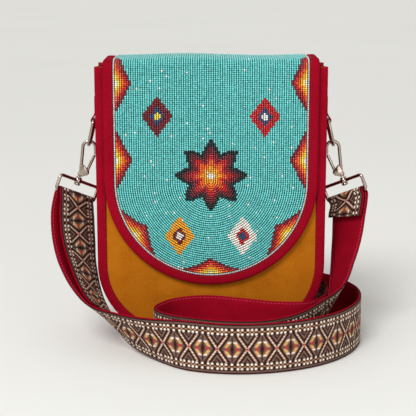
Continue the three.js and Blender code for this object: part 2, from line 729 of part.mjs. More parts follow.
// Strap: red cloth backing with a patterned ribbon on its outer side, one length from ring to ring.
// It sweeps from the left ring to the front, stands on its edge, turns behind the bag, comes back round the
// corner, lies along the front, turns again and rises to the right ring.
const strapThickness = BACKING_THICKNESS + GAP + RIBBON_THICKNESS;
const foldRadius = WIRE / 2 + GAP + strapThickness / 2;
const strapStart = strapBar.clone().addScaledVector(outward, foldRadius);
const flipX = new THREE.Vector3(-1, 1, 1);
const strapRest = STRAP_WIDTH / 2 + GAP;
const strapLead = strapStart.clone().addScaledVector(pull, STRAP_LEAD);
const route = [
  [strapStart, across],
  [strapLead, across],
  ...STRAP_RISE_LEFT.map(([place, lean]) => [new THREE.Vector3(...place), new THREE.Vector3(...lean)]),
  ...STRAP_ON_EDGE.map(([x, y]) => [new THREE.Vector3(x, y, strapRest), new THREE.Vector3(0, 0, 1)]),
  ...STRAP_RISE_RIGHT.map(([place, lean]) => [new THREE.Vector3(...place), new THREE.Vector3(...lean)]),
  [strapLead.clone().multiply(flipX), across.clone().multiply(flipX)],
  [strapStart.clone().multiply(flipX), across.clone().multiply(flipX)],
];
const centreLine = new THREE.CatmullRomCurve3(route.map(([place]) => place), false, 'catmullrom', 0.5);
const leanLine = new THREE.CatmullRomCurve3(route.map(([, lean]) => lean), false, 'catmullrom', 0.5);

// Place, direction across and outward normal of the strap at a share of its route.
// Near a ring its width stays parallel to the bar, and farther on it is square to the run.
function strapFrame(share) {
  const span = share * (route.length - 1);
  const spansFromRing = Math.min(span, route.length - 1 - span);
  const square = THREE.MathUtils.smoothstep(spansFromRing, STRAP_SKEWED_SPANS, STRAP_SQUARE_SPANS);
  const place = centreLine.getPoint(share);
  const along = centreLine.getTangent(share);
  const lean = leanLine.getPoint(share);
  lean.addScaledVector(along, -square * lean.dot(along)).normalize();
  return { place, lean, normal: along.clone().cross(lean).normalize() };
}

function band(frames, low, high) {
  const section = boxSection(-STRAP_WIDTH / 2, STRAP_WIDTH / 2, low, high);
  const rings = frames.map(({ place, lean, normal }) => section.map(
    (s) => place.clone().addScaledVector(lean, s.x).addScaledVector(normal, s.y)));
  return skin(rings, section);
}

const strapSteps = STRAP_SPAN_STEPS * (route.length - 1);
const strapFrames = Array.from({ length: strapSteps + 1 }, (_, i) => strapFrame(i / strapSteps));
const under = -strapThickness / 2;
add(part, 'strap_backing', band(strapFrames, under, under + BACKING_THICKNESS), redCloth);
add(part, 'strap_ribbon', band(strapFrames, -under - RIBBON_THICKNESS, -under), ribbonWeave);

const foldGap = GAP / foldRadius;

// Each end of the strap is folded over its ring's bar and comes down on the inner side
function foldFrames() {
  return Array.from({ length: FOLD_STEPS }, (_, i) => {
    const angle = foldGap + ((Math.PI - foldGap) * i) / (FOLD_STEPS - 1);
    const normal = outward.clone().multiplyScalar(Math.cos(angle)).addScaledVector(pull, -Math.sin(angle));
    return { place: strapBar.clone().addScaledVector(normal, foldRadius), lean: across.clone(), normal };
  });
}

// A folded end hangs inside the strap, which bows away from it, and lies towards the strap's lower edge
function innerEnd(frameAt, steps) {
  const frames = foldFrames();
  for (let i = STRAP_SPAN_STEPS; i <= steps; i++) {
    const { place, lean, normal } = frameAt(i / strapSteps);
    const ease = THREE.MathUtils.smoothstep(i, TAIL_CLOSING_STEP, TAIL_STEPS);
    const inside = THREE.MathUtils.lerp(2 * foldRadius, strapThickness + TAIL_CLEARANCE, ease);
    const bow = TAIL_BOW * Math.sin((Math.PI * i) / TAIL_STEPS);
    const shift = TAIL_SHIFT * THREE.MathUtils.smoothstep(i, 0, 2 * STRAP_SPAN_STEPS);
    place.addScaledVector(normal, -inside - bow).addScaledVector(lean, -shift);
    frames.push({ place, lean, normal: normal.negate() });
  }
  return band(frames, under, -under);
}

function frameFromRight(share) {
  const { place, lean, normal } = strapFrame(1 - share);
  return { place: place.multiply(flipX), lean: lean.multiply(flipX), normal: normal.multiply(flipX) };
}

add(part, 'left_strap_tail', innerEnd(strapFrame, TAIL_STEPS), ribbonWeave);
add(part, 'right_strap_tab', mirrored(innerEnd(frameFromRight, TAB_STEPS)), ribbonWeave);

export default part;
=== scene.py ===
# %% [markdown]
# # A beaded crossbody bag
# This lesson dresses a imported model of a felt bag: a pouch with bound edges, a flap covered in seed
# beads, snap hooks at the sides and a woven strap that lies in loops round the foot. Every size is
# in millimetres and is turned into Blender's metres only when a mesh, lamp or texture is made, so
# the numbers can be compared with a ruler.

# %% Load the frame
import math
import random

import bmesh
import bpy
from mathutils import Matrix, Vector


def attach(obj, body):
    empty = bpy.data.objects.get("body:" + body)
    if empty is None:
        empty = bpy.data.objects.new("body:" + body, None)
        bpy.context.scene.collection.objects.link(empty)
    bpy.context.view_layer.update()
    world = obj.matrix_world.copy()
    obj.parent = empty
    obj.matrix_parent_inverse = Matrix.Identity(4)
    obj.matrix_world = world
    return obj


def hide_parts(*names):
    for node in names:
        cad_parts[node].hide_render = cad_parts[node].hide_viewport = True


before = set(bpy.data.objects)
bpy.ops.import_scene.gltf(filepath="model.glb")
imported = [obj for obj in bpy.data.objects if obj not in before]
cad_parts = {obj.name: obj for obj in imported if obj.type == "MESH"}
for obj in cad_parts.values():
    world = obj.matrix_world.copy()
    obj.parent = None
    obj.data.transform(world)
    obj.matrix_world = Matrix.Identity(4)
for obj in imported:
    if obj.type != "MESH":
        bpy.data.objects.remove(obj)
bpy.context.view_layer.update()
scene = bpy.context.scene
scene.view_settings.view_transform = "Standard"
MM = 0.001

# %% [markdown]
# ## Colours and nodes
# Colours are written as they look on a screen, so one function turns them into the linear values
# that shaders use. One function adds a node with its settings and links: an input takes a plain
# value, another node's output, or a node, which stands for its first output.

# %% Colours and nodes
def linear(code):
    """A colour written as sRGB hex, as linear red, green, blue and alpha."""
    parts = [int(code[i:i + 2], 16) / 255 for i in (1, 3, 5)]
    return (*(c / 12.92 if c <= 0.04045 else ((c + 0.055) / 1.055) ** 2.4 for c in parts), 1.0)


def plug(node, inputs):
    """Give a node's inputs plain values, other nodes' outputs or other nodes."""
    for key, value in inputs.items():
        if isinstance(value, bpy.types.Node):
            value = value.outputs[0]
        if isinstance(value, bpy.types.NodeSocket):
            node.id_data.links.new(value, node.inputs[key])
        else:
            node.inputs[key].default_value = value


def add_node(tree, kind, inputs=None, **settings):
    """A node with its settings and inputs."""
    node = tree.nodes.new(kind)
    for name, value in settings.items():
        setattr(node, name, value)
    plug(node, inputs or {})
    return node


def new_material(name):
    """A material with a shader and an output, its tree and its shader."""
    material = bpy.data.materials.new(name)
    material.use_nodes = True
    tree = material.node_tree
    tree.nodes.clear()
    shader = add_node(tree, "ShaderNodeBsdfPrincipled")
    add_node(tree, "ShaderNodeOutputMaterial", {"Surface": shader})
    return material, tree, shader


print("half grey on a screen, in linear light:", round(linear("#808080")[0], 3))

# %% [markdown]
# ## Pieces and skins
# Most of the bag is swept: cloth strips, wires and the strap. So one function turns rings of points
# into a closed skin, and another makes an object of a skin and a material. The last one tells the
# frame where a piece belongs.

# %% Pieces and skins
def put(name, data, place=(0, 0, 0)):
    """An object for a mesh, camera or lamp, in the scene."""
    thing = bpy.data.objects.new(name, data)
    thing.location = Vector(place) * MM
    scene.collection.objects.link(thing)
    return thing


def make_piece(name, shape, material):
    """An object at the origin from points and faces, with its faces turned outwards."""
    points, faces = shape
    mesh = bpy.data.meshes.new(name)
    mesh.from_pydata([Vector(p) * MM for p in points], [], faces)
    mesh.materials.append(material)
    shell = bmesh.new()
    shell.from_mesh(mesh)
    bmesh.ops.recalc_face_normals(shell, faces=shell.faces)
    shell.to_mesh(mesh)
    shell.free()
    mesh.polygons.foreach_set("use_smooth", [True] * len(mesh.polygons))
    return put(name, mesh)


def loft(rings, loop=False):
    """Points and faces of a skin over rings of equal length, closed at its ends if it is no loop."""
    count = len(rings[0])
    points = [p for ring in rings for p in ring]
    faces = []
    for i in range(len(rings) if loop else len(rings) - 1):
        here, there = i * count, ((i + 1) % len(rings)) * count
        for j in range(count):
            k = (j + 1) % count
            faces.append((here + j, here + k, there + k, there + j))
    if not loop:
        faces.append(tuple(range(count)))
        faces.append(tuple(range(len(points) - count, len(points))))
    return points, faces


def ease(value, low, high):
    """A smooth step from 0 at low to 1 at high."""
    share = min(max((value - low) / (high - low), 0.0), 1.0)
    return share * share * (3 - 2 * share)


def settle(piece, slot, *nodes, body="bag"):
    """Let a piece ride on a body and stand for some solids. The slot is not used."""
    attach(piece, body)
    if nodes:
        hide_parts(*nodes)
    return piece


# %% [markdown]
# ## Camera and lamps
# The photograph was taken from a little above, straight on, with a long lens: the strap's upright
# edges stay parallel. A wide sun gives soft shadows that look alike all over the floor, and two
# large soft lamps stand in front.

# %% Camera and lamps
FRAME_PIXELS, FOCAL_PIXELS, SENSOR_WIDTH = 416, 1200, 36
CAMERA_PLACE, CAMERA_TILT = (-3, -1178, 378), 78
LAMPS = (
    ("wide_sun", "SUN", 2.0, (-320, -720, 800), (0, 0, 0)),
    ("soft_lamp", "AREA", 6, (-900, -1000, 950), (0, 0, 120)),
    ("fill_lamp", "AREA", 6, (600, -1350, 550), (0, 0, 120)),
)
SUN_SPREAD, LAMP_SIZE = 22, 900

camera_data = bpy.data.cameras.new("camera")
camera_data.sensor_width = SENSOR_WIDTH
camera_data.lens = SENSOR_WIDTH * FOCAL_PIXELS / FRAME_PIXELS
camera_data.clip_end = 100
scene.camera = put("camera", camera_data, CAMERA_PLACE)
scene.camera.rotation_euler = (math.radians(CAMERA_TILT), 0, 0)

for name, kind, power, place, aim in LAMPS:
    lamp_data = bpy.data.lights.new(name, kind)
    lamp_data.energy = power
    if kind == "SUN":
        lamp_data.angle = math.radians(SUN_SPREAD)
    else:
        lamp_data.size = LAMP_SIZE * MM
    lamp = put(name, lamp_data, place)
    lamp.rotation_euler = (lamp.location - Vector(aim) * MM).to_track_quat("Z", "Y").to_euler()
print("lens:", round(camera_data.lens, 2), "mm")

# %% [markdown]
# ## The room and the floor
# The room is pale and fills the shadows, with a brown wall behind the viewer for the metal to mirror.
# It is seen, mirrored and seen through at its full tone, but lights things a little less. The floor
# is so large that its edge lies near the horizon.

# %% The room and the floor
ROOM, BROWN_WALL, ROOM_LIGHT = "#E6E6E3", "#583620", 0.76
FLOOR_REACH, FLOOR_CLOUDS = 20000, 2000 / 3

world = bpy.data.worlds.new("studio")
world.use_nodes = True
scene.world = world
tree = world.node_tree
rays = add_node(tree, "ShaderNodeLightPath").outputs
way = add_node(tree, "ShaderNodeTexCoord").outputs["Generated"]
sides = add_node(tree, "ShaderNodeSeparateXYZ", {0: way}).outputs
behind_viewer = add_node(tree, "ShaderNodeMapRange", {
    "Value": sides["Y"], "From Min": -0.3, "From Max": -0.8})
above_horizon = add_node(tree, "ShaderNodeMapRange", {
    "Value": sides["Z"], "From Min": 0.1, "From Max": 0.2})
wall = add_node(tree, "ShaderNodeMath", {0: behind_viewer, 1: above_horizon}, operation="MULTIPLY")
room = add_node(tree, "ShaderNodeValToRGB", {"Fac": wall})
for stop, code in zip(room.color_ramp.elements, (ROOM, BROWN_WALL)):
    stop.color = linear(code)
seen = add_node(tree, "ShaderNodeMath", {0: rays["Is Camera Ray"], 1: rays["Is Glossy Ray"]},
                operation="MAXIMUM")
seen = add_node(tree, "ShaderNodeMath", {0: seen, 1: rays["Is Transmission Ray"]},
                operation="MAXIMUM")
strength = add_node(tree, "ShaderNodeMapRange", {
    "Value": seen, "To Min": ROOM_LIGHT, "To Max": 1.0})
plug(tree.nodes["Background"], {"Color": room, "Strength": strength})

# Painted studio floor: flat and matt, with only a trace of unevenness in its tone.
floor_paint, tree, shader = new_material("painted_floor")
place = add_node(tree, "ShaderNodeTexCoord").outputs["Object"]
drift = add_node(tree, "ShaderNodeTexNoise", {
    "Vector": place, "Scale": 1 / (FLOOR_CLOUDS * MM), "Detail": 2.0})
tone = add_node(tree, "ShaderNodeValToRGB", {"Fac": drift})
for stop, code in zip(tone.color_ramp.elements, ("#DEDEDB", "#E3E3E0")):
    stop.color = linear(code)
plug(shader, {"Base Color": tone, "Roughness": 0.8})

corners = [(x * FLOOR_REACH, y * FLOOR_REACH, 0) for x, y in ((-1, -1), (1, -1), (1, 1), (-1, 1))]
floor = make_piece("floor", (corners, [(0, 1, 2, 3)]), floor_paint)
print("floor:", 2 * FLOOR_REACH * MM, "m wide")

# %% [markdown]
# ## The strap's route
# The strap is one flat band from ring to ring. Its route is a list of the points that it passes and
# of the way the band's upper edge leans there. Where it stands on its edge on the floor it leans
# straight up. The band lies within about 7 mm of the solid.

# %% The strap's route
RING_ACROSS = (-0.6, -0.7, 0.385)
RING_PULL = (-0.33, -0.223, -0.92)
RING_OFFSET = 2.5
HOOK_FOOT = Vector((-130.2, 0, 162.402))
STRAP_RING_LOW = 22
WIRE = 3.4
GAP = 0.3
STRAP_WIDTH = 48
BACKING_THICKNESS, RIBBON_THICKNESS = 1.2, 0.9
STRAP_THICKNESS = BACKING_THICKNESS + GAP + RIBBON_THICKNESS
STRAP_LEAD = 6
STRAP_REST = STRAP_WIDTH / 2 + GAP
STRAP_RISE_LEFT = [
    ((-142.9, -4, 119), (-0.62, -0.72, 0.31)), ((-141.8, -10, 97), (-0.6, -0.75, 0.27)),
    ((-137.6, -21, 74), (-0.48, -0.82, 0.3)), ((-126.6, -39, 53), (-0.33, -0.88, 0.34)),
    ((-108.5, -60, 36.5), (-0.2, -0.88, 0.43)), ((-83, -84, 27), (-0.1, -0.62, 0.77)),
    ((-54, -105, 23.8), (-0.03, -0.35, 0.93)),
]
STRAP_ON_EDGE = [
    (-22, -124), (18, -134), (58, -130), (96, -114), (126, -87), (144, -52), (148, -16), (139, 16),
    (121, 42), (96, 57), (66, 62), (44, 57), (40, 47), (56, 40), (84, 39), (109, 31), (117, 8),
    (115, -20), (108, -44), (92, -60), (62, -60), (28, -48), (-4, -39), (-31, -46), (-49, -64),
    (-53, -84), (-40, -102), (-14, -115), (18, -123),
]
STRAP_RISE_RIGHT = [
    ((52, -120, 24.6), (0, -0.05, 1)), ((82, -105, 28), (0.02, -0.12, 0.99)),
    ((104, -79, 36), (0.12, -0.3, 0.95)), ((121, -54, 50), (0.3, -0.55, 0.78)),
    ((130, -28, 72), (0.4, -0.75, 0.53)), ((135.6, -11, 96), (0.5, -0.8, 0.31)),
    ((138.2, -4, 119), (0.57, -0.76, 0.32)),
]


def other_side(point):
    return Vector((-point[0], point[1], point[2]))


across = Vector(RING_ACROSS).normalized()
pull = Vector(RING_PULL)
pull = (pull - across * across.dot(pull)).normalized()
outward = across.cross(-pull)
ring_middle = HOOK_FOOT - across * RING_OFFSET
strap_bar = ring_middle + pull * STRAP_RING_LOW
fold_radius = WIRE / 2 + GAP + STRAP_THICKNESS / 2
strap_start = strap_bar + outward * fold_radius
strap_lead = strap_start + pull * STRAP_LEAD
route = [(strap_start, across), (strap_lead, across)]
route += [(Vector(place), Vector(lean)) for place, lean in STRAP_RISE_LEFT]
route += [(Vector((x, y, STRAP_REST)), Vector((0, 0, 1))) for x, y in STRAP_ON_EDGE]
route += [(Vector(place), Vector(lean)) for place, lean in STRAP_RISE_RIGHT]
route += [(other_side(place), other_side(across)) for place in (strap_lead, strap_start)]
print("points of the route:", len(route))

# %% [markdown]
# ## The strap's line
# The line is a smooth curve through the points of the route, and a second curve does the same for the
# leans. Both are cut into short frames: a place, the direction across the band and its normal.

# %% The strap's line
SKEWED_SPANS, SQUARE_SPANS = 1, 3
CURVE_STEPS, NEAR, CORD_STEP = 60, 0.004, 10

places, leans = zip(*route)


def on_curve(values, at):
    """A point of the smooth curve through values, at a place counted in values."""
    span = min(max(int(at), 0), len(values) - 2)
    t = at - span
    b, c = values[span], values[span + 1]
    a = values[span - 1] if span else b * 2 - c
    d = values[span + 2] if span + 2 < len(values) else c * 2 - b
    leave, arrive = (c - a) * 0.5, (d - b) * 0.5
    bend, twist = c * 3 - b * 3 - leave * 2 - arrive, b * 2 - c * 2 + leave + arrive
    return b + leave * t + bend * t * t + twist * t ** 3


def strap_frame(at):
    """Place, direction across and outward normal; near a ring the width is parallel to the bar."""
    square = ease(min(at, len(route) - 1 - at), SKEWED_SPANS, SQUARE_SPANS)
    along = (on_curve(places, at + NEAR) - on_curve(places, at - NEAR)).normalized()
    lean = on_curve(leans, at)
    lean = (lean - along * lean.dot(along) * square).normalized()
    return on_curve(places, at), lean, along.cross(lean).normalized()


def evenly(frames, step):
    """The same run of frames at even steps along it, and its length."""
    walked = [0.0]
    for (here, *_), (there, *_) in zip(frames, frames[1:]):
        walked.append(walked[-1] + (there - here).length)
    count = max(round(walked[-1] / step), 1)
    out, i = [], 0
    for n in range(count + 1):
        distance = walked[-1] * n / count
        while i < len(walked) - 2 and walked[i + 1] < distance:
            i += 1
        share = (distance - walked[i]) / (walked[i + 1] - walked[i])
        mixed = [a.lerp(b, share) for a, b in zip(frames[i], frames[i + 1])]
        out.append((mixed[0], mixed[1].normalized(), mixed[2].normalized()))
    return out, walked[-1]


strap_frames = [strap_frame(i / CURVE_STEPS) for i in range(CURVE_STEPS * (len(route) - 1) + 1)]
strap_path, strap_length = evenly(strap_frames, CORD_STEP)
print("strap length:", round(strap_length), "mm")

# %% [markdown]
# ## Cloth finishes
# Wool felt is a mat of pressed fibres: no weave, a soft cloudy tone and a fuzzy edge to its light,
# which the shader's sheen gives. The red cloth of the bindings and the strap's lining is a fine
# brushed twill with a faint diagonal rib. Thread spacings are real ones, drawn a little coarser
# where they would vanish in the picture.

# %% Cloth finishes
CLOUD_SIZE, FIBRE_SHARE, RIB_SHARE, NAP = 22, 0.7, 0.35, 0.4
RIB_TURN = (0.6, 0.5, 0.7)
WAVE_SCALE = 0.314  # A wave texture of this scale repeats once in a metre.


def cloth_material(name, pale, mid, dark, rib, fibre, relief, sheen):
    """A matt cloth: clouds of tone, fine fibres and a diagonal rib."""
    material, tree, shader = new_material(name)
    place = add_node(tree, "ShaderNodeTexCoord").outputs["Object"]
    clouds = add_node(tree, "ShaderNodeTexNoise", {
        "Vector": place, "Scale": 1 / (CLOUD_SIZE * MM), "Detail": 4.0})
    fibres = add_node(tree, "ShaderNodeTexNoise", {
        "Vector": place, "Scale": 1 / (fibre * MM), "Detail": 3.0, "Roughness": 0.7})
    blend = add_node(tree, "ShaderNodeMix", {0: FIBRE_SHARE, 2: clouds, 3: fibres})
    tone = add_node(tree, "ShaderNodeValToRGB", {"Fac": blend})
    tone.color_ramp.elements.new(0.5)
    stops = zip(tone.color_ramp.elements, ((0.3, dark), (0.5, mid), (0.7, pale)))
    for stop, (position, code) in stops:
        stop.position, stop.color = position, linear(code)
    turned = add_node(tree, "ShaderNodeMapping", {"Vector": place, "Rotation": RIB_TURN})
    ribs = add_node(tree, "ShaderNodeTexWave", {
        "Vector": turned, "Scale": WAVE_SCALE / (rib * MM), "Distortion": 3.0, "Detail": 2.0,
        "Detail Scale": 2.0})
    height = add_node(tree, "ShaderNodeMix", {0: RIB_SHARE, 2: fibres, 3: ribs.outputs["Fac"]})
    nap = add_node(tree, "ShaderNodeBump", {
        "Strength": relief, "Distance": NAP * MM, "Height": height})
    plug(shader, {
        "Base Color": tone, "Normal": nap, "Roughness": 0.92, "Specular IOR Level": 0.04,
        "Sheen Weight": sheen, "Sheen Roughness": 0.5, "Sheen Tint": linear(pale)})
    return material


ochre_felt = cloth_material("ochre_wool_felt", "#BC741A", "#AC6410", "#904D0A", 1.6, 0.7, 0.5, 0.15)
red_twill = cloth_material("red_brushed_twill", "#9A0924", "#8A061C", "#760314", 1.1, 0.9, 0.3, 0.0)
print("cloth finishes:", ochre_felt.name, red_twill.name)

# %% [markdown]
# ## The woven ribbon
# The strap's outer side is a jacquard ribbon: dark warp with cream, tan, yellow and red threads
# floating over it. A picture of the pattern isn't needed, because it follows a rule: a dark edge, a
# speckled stripe, a border of dots and dashes, and in the middle crossed arms with a red heart, and
# red buds with yellow leaves beside a dark spindle. The ribbon is made of faces under a millimetre
# long. The rule is asked at several places on each, and the mean of the answers is the face's
# colour and height, because floating threads stand a little higher.

# %% The ribbon's rule
RIBBON_WIDTH, RIBBON_CELLS = 46.4, 54
RIBBON_REPEAT, REPEAT_CELLS = 27.3, 32
CELL_SAMPLES = 4
RIBBON_THREADS = {
    "edge": "#260D0A", "ground": "#33130E", "taupe": "#80665A", "cream": "#F4E4D2",
    "tan": "#BC8458", "yellow": "#D8AC54", "red": "#AE1C2A",
}
FLOATS = {"cream": 0.22, "yellow": 0.16, "tan": 0.14, "red": 0.14, "taupe": 0.08}
# Distances from the ribbon's middle line to where its bands begin
EDGE_BAND, SPECKLED_BAND, BORDER_BAND = 22.3, 20.6, 12.4
DOT_ROWS, DOT_RADIUS = (18.6, 14.4), 1.12
DOT_PLACES = (0.4, 4.2, 8.0, 13.4, 18.9, 22.6)
LINK_PLACES, LINK_RADIUS = (2.3, 6.1, 20.7), 0.9
DASH_SPACE, DASH_HALF = 1.3, 0.45
HEART, BUD_PLACE, BUD = 1.5, 9.2, 2.0
# Distances from an arm's own middle line, and from the ribbon's
ARM_SLOPE, ARM_HALF, ARM_STEP, BAR_HALF, LINE_HALF, LINE_START = 1.45, 0.62, 1.2, 3.2, 4.0, 3
SPINDLE, SPINDLE_TAPER, SPINDLE_LINE = 2.0, 0.3, 0.6
LEAF_BAND, LEAF_REACH, LEAF_TIP = (-6.7, -4.1), (1.4, 7), 5.8
RIM_BAND = (4.4, 5.6)


def ribbon_thread(along, over, fill):
    """Which thread shows at a distance along the ribbon and from its middle line."""
    along %= RIBBON_REPEAT
    b = abs(over)
    if b > EDGE_BAND:
        return "edge"
    if b > SPECKLED_BAND:
        return fill
    if b > BORDER_BAND:
        return border_thread(along, b)
    return cross_thread(min(along, RIBBON_REPEAT - along), b, fill)


def border_thread(along, b):
    """Round dots in two rows, three, one and two at a time, with links and dashes between them."""
    beside = min(abs(along - dot) for dot in DOT_PLACES + (RIBBON_REPEAT + DOT_PLACES[0],))
    if min(math.hypot(beside, b - row) for row in DOT_ROWS) < DOT_RADIUS:
        return "cream"
    off_middle = abs(b - sum(DOT_ROWS) / 2)
    if min(math.hypot(along - link, off_middle) for link in LINK_PLACES) < LINK_RADIUS:
        return "tan"
    return "tan" if beside > DASH_SPACE and off_middle < DASH_HALF else "ground"


def cross_thread(a, b, fill):
    """Crossed arms between dark bars, a red heart, and a bud with leaves beside a dark spindle."""
    arm = (b - ARM_SLOPE * a) / math.hypot(1, ARM_SLOPE)
    spindle = RIBBON_REPEAT / 2 - a
    if a + b < HEART or abs(a - BUD_PLACE) + b < BUD:
        return "red"
    if abs(arm) < ARM_HALF:
        return "tan" if int(b / ARM_STEP) % 2 else "cream"
    if abs(arm) < BAR_HALF:
        return "ground"
    if abs(arm) < LINE_HALF and b > LINE_START:
        return "taupe"
    if spindle < SPINDLE - SPINDLE_TAPER * b or spindle < SPINDLE_LINE:
        return "ground"
    if LEAF_BAND[0] < arm < LEAF_BAND[1] and LEAF_REACH[0] < b < LEAF_REACH[1]:
        return "cream" if b > LEAF_TIP else "yellow" if fill == "taupe" else "tan"
    return "ground" if RIM_BAND[0] < arm < RIM_BAND[1] else fill


def ribbon_cell(i, j):
    """The mean colour and height of a small face, from several places on it."""
    along, over = RIBBON_REPEAT / REPEAT_CELLS, RIBBON_WIDTH / RIBBON_CELLS
    parts = [(k + 0.5) / CELL_SAMPLES for k in range(CELL_SAMPLES)]
    fill = "taupe" if (i + j) % 2 else "ground"
    threads = [ribbon_thread((i + u) * along, (j + v - RIBBON_CELLS / 2) * over, fill)
               for u in parts for v in parts]
    shades = [linear(RIBBON_THREADS[thread]) for thread in threads]
    colour = [sum(part) / len(threads) for part in zip(*shades)]
    return colour, sum(FLOATS.get(thread, 0.0) for thread in threads) / len(threads)


repeat_cells = [[ribbon_cell(i, j) for j in range(RIBBON_CELLS)] for i in range(REPEAT_CELLS)]
print("cells in one repeat:", REPEAT_CELLS * RIBBON_CELLS)

# %% [markdown]
# ## Ribbon and lining
# The ribbon's yarn takes its colour from the faces. A run of strap is a ribbon on the outer side and
# a strip of red cloth behind it, and both are lofted along the same frames, so that they stay
# together where the strap bends and twists.

# %% Ribbon and lining
RIBBON_SINK = 0.2
SLUB_SIZE, YARN_FUZZ = 1.3, 0.3
LINING_STEP, LINING_COLUMN, LINING_ROUND = 2.0, 8, 0.4

# Woven polyester yarn: rough and dull, with slubs that make its tone uneven.
woven_yarn, tree, shader = new_material("woven_yarn")
place = add_node(tree, "ShaderNodeTexCoord").outputs["Object"]
slubs = add_node(tree, "ShaderNodeTexNoise", {
    "Vector": place, "Scale": 1 / (SLUB_SIZE * MM), "Detail": 2.0})
level = add_node(tree, "ShaderNodeMapRange", {
    "Value": slubs, "From Min": 0.3, "From Max": 0.7, "To Min": 0.8, "To Max": 1.12})
dye = add_node(tree, "ShaderNodeVertexColor", layer_name="thread_colour")
worn = add_node(tree, "ShaderNodeHueSaturation", {"Color": dye, "Saturation": 0.95, "Value": level})
fuzz = add_node(tree, "ShaderNodeBump", {
    "Strength": 0.35, "Distance": YARN_FUZZ * MM, "Height": slubs})
plug(shader, {"Base Color": worn, "Normal": fuzz, "Roughness": 0.85, "Specular IOR Level": 0.15})


def ribbon(name, frames, start=0):
    """A patterned ribbon on the outer side of a run of strap, with its floats raised."""
    frames, _ = evenly(frames, RIBBON_REPEAT / REPEAT_CELLS)
    top, half = STRAP_THICKNESS / 2, RIBBON_WIDTH / 2
    cell = RIBBON_WIDTH / RIBBON_CELLS
    cells = [repeat_cells[(start + i) % REPEAT_CELLS] for i in range(len(frames) - 1)]
    rings = []
    for i, (place, lean, normal) in enumerate(frames):
        rows = cells[max(i - 1, 0):i + 1]
        ring = []
        for j in range(RIBBON_CELLS + 1):
            near = [height for row in rows for _, height in row[max(j - 1, 0):j + 1]]
            height = top - RIBBON_SINK + sum(near) / len(near)
            ring.append(place + lean * ((j - RIBBON_CELLS / 2) * cell) + normal * height)
        ring += [place + lean * offset + normal * (top - RIBBON_THICKNESS)
                 for offset in (half, -half)]
        rings.append(ring)
    piece = make_piece(name, loft(rings), woven_yarn)
    # Each step has three plain faces too, at the sides and below, and the run has two ends.
    edge = list(linear(RIBBON_THREADS["edge"]))
    colours = [colour for row in cells for colour in [shade for shade, _ in row] + [edge] * 3]
    faces = zip(piece.data.polygons, colours + [edge] * 2)
    layer = piece.data.color_attributes.new("thread_colour", "BYTE_COLOR", "CORNER")
    corners = [part for face, colour in faces for part in colour * face.loop_total]
    layer.data.foreach_set("color", corners)
    return piece


def lining(name, frames):
    """The red cloth behind a run of ribbon, with rounded edges."""
    frames, _ = evenly(frames, LINING_STEP)
    low, half, r = -STRAP_THICKNESS / 2, STRAP_WIDTH / 2, LINING_ROUND
    high = low + BACKING_THICKNESS
    section = [(-half + r, high), (half - r, high), (half, high - r), (half, low + r)]
    columns = range(1, STRAP_WIDTH // LINING_COLUMN)
    section += [(half - r, low)] + [(half - LINING_COLUMN * i, low) for i in columns]
    section += [(-half + r, low), (-half, low + r), (-half, high - r)]
    rings = [[place + lean * x + normal * h for x, h in section] for place, lean, normal in frames]
    return make_piece(name, loft(rings), red_twill)


strap_ribbon = settle(ribbon("strap_weave", strap_frames), "woven_ribbon", "strap_ribbon")
strap_lining = settle(lining("strap_lining", strap_frames), "red_cloth", "strap_backing")
print("ribbon faces:", len(strap_ribbon.data.polygons))

# %% [markdown]
# ## The strap's folded ends
# Each end goes through its ring, folds over the bar and comes down on the inner side. The right end
# is a short tab; the left one is long and lies beside the strap as far as the front. Both show the
# patterned side.

# %% The strap's folded ends
TAIL_SHIFT, TAIL_BOW, TAIL_CLEARANCE = 3, 4, 1.2
SHIFTED_SPAN, CLOSING_SPAN, TAIL_END, TAB_END = 2, 4, 6, 2
FOLD_STEPS, END_STEPS, FOLD_FROM = 24, 140, 0.1
TAIL_CELL, TAB_CELL = 7, 14


def fold_frames():
    """The half turn over the left ring's bar, from the outer side to the inner one."""
    frames = []
    for i in range(FOLD_STEPS + 1):
        angle = FOLD_FROM + (math.pi - FOLD_FROM) * i / FOLD_STEPS
        normal = outward * math.cos(angle) - pull * math.sin(angle)
        frames.append((strap_bar + normal * fold_radius, across, normal))
    return frames


def inner_end(frame_at, last, bow, shift):
    """A folded end: over the bar, then down on the inner side of the strap, bowing away from it."""
    frames = fold_frames()
    for i in range(1, END_STEPS + 1):
        at = last * i / END_STEPS
        place, lean, normal = frame_at(at)
        share = ease(at, CLOSING_SPAN, TAIL_END)
        inside = 2 * fold_radius * (1 - share) + (STRAP_THICKNESS + TAIL_CLEARANCE) * share
        inside += bow * math.sin(math.pi * at / TAIL_END)
        place = place - normal * inside - lean * shift * ease(at, 0, SHIFTED_SPAN)
        frames.append((place, lean, -normal))
    return frames


def frame_from_right(at):
    return [other_side(value) for value in strap_frame(len(route) - 1 - at)]


tail_frames = inner_end(strap_frame, TAIL_END, TAIL_BOW, TAIL_SHIFT)
tab_frames = [[other_side(value) for value in values]
              for values in inner_end(frame_from_right, TAB_END, 0, 0)]

tail_ribbon = ribbon("tail_weave", tail_frames, TAIL_CELL)
tail_lining = lining("tail_lining", tail_frames)
tab_ribbon = ribbon("tab_weave", tab_frames, TAB_CELL)
tab_lining = lining("tab_lining", tab_frames)
settle(tail_ribbon, "woven_ribbon", "left_strap_tail")
settle(tail_lining, "red_cloth")
settle(tab_ribbon, "woven_ribbon", "right_strap_tab")
settle(tab_lining, "red_cloth")

[place * MM for place, _, _ in strap_path]
print("folded ends:", tail_ribbon.name, tab_ribbon.name)

# %% [markdown]
# ## The pouch
# The pouch is two felt panels with a cloth gusset between them, and a strip of red cloth folded over
# each panel's edge. Sewn felt is stiff but never quite flat, so the panels swell a little in the
# middle, and the gusset sinks in between its seams. All of them follow one U: straight sides, round
# corners and a short straight foot.

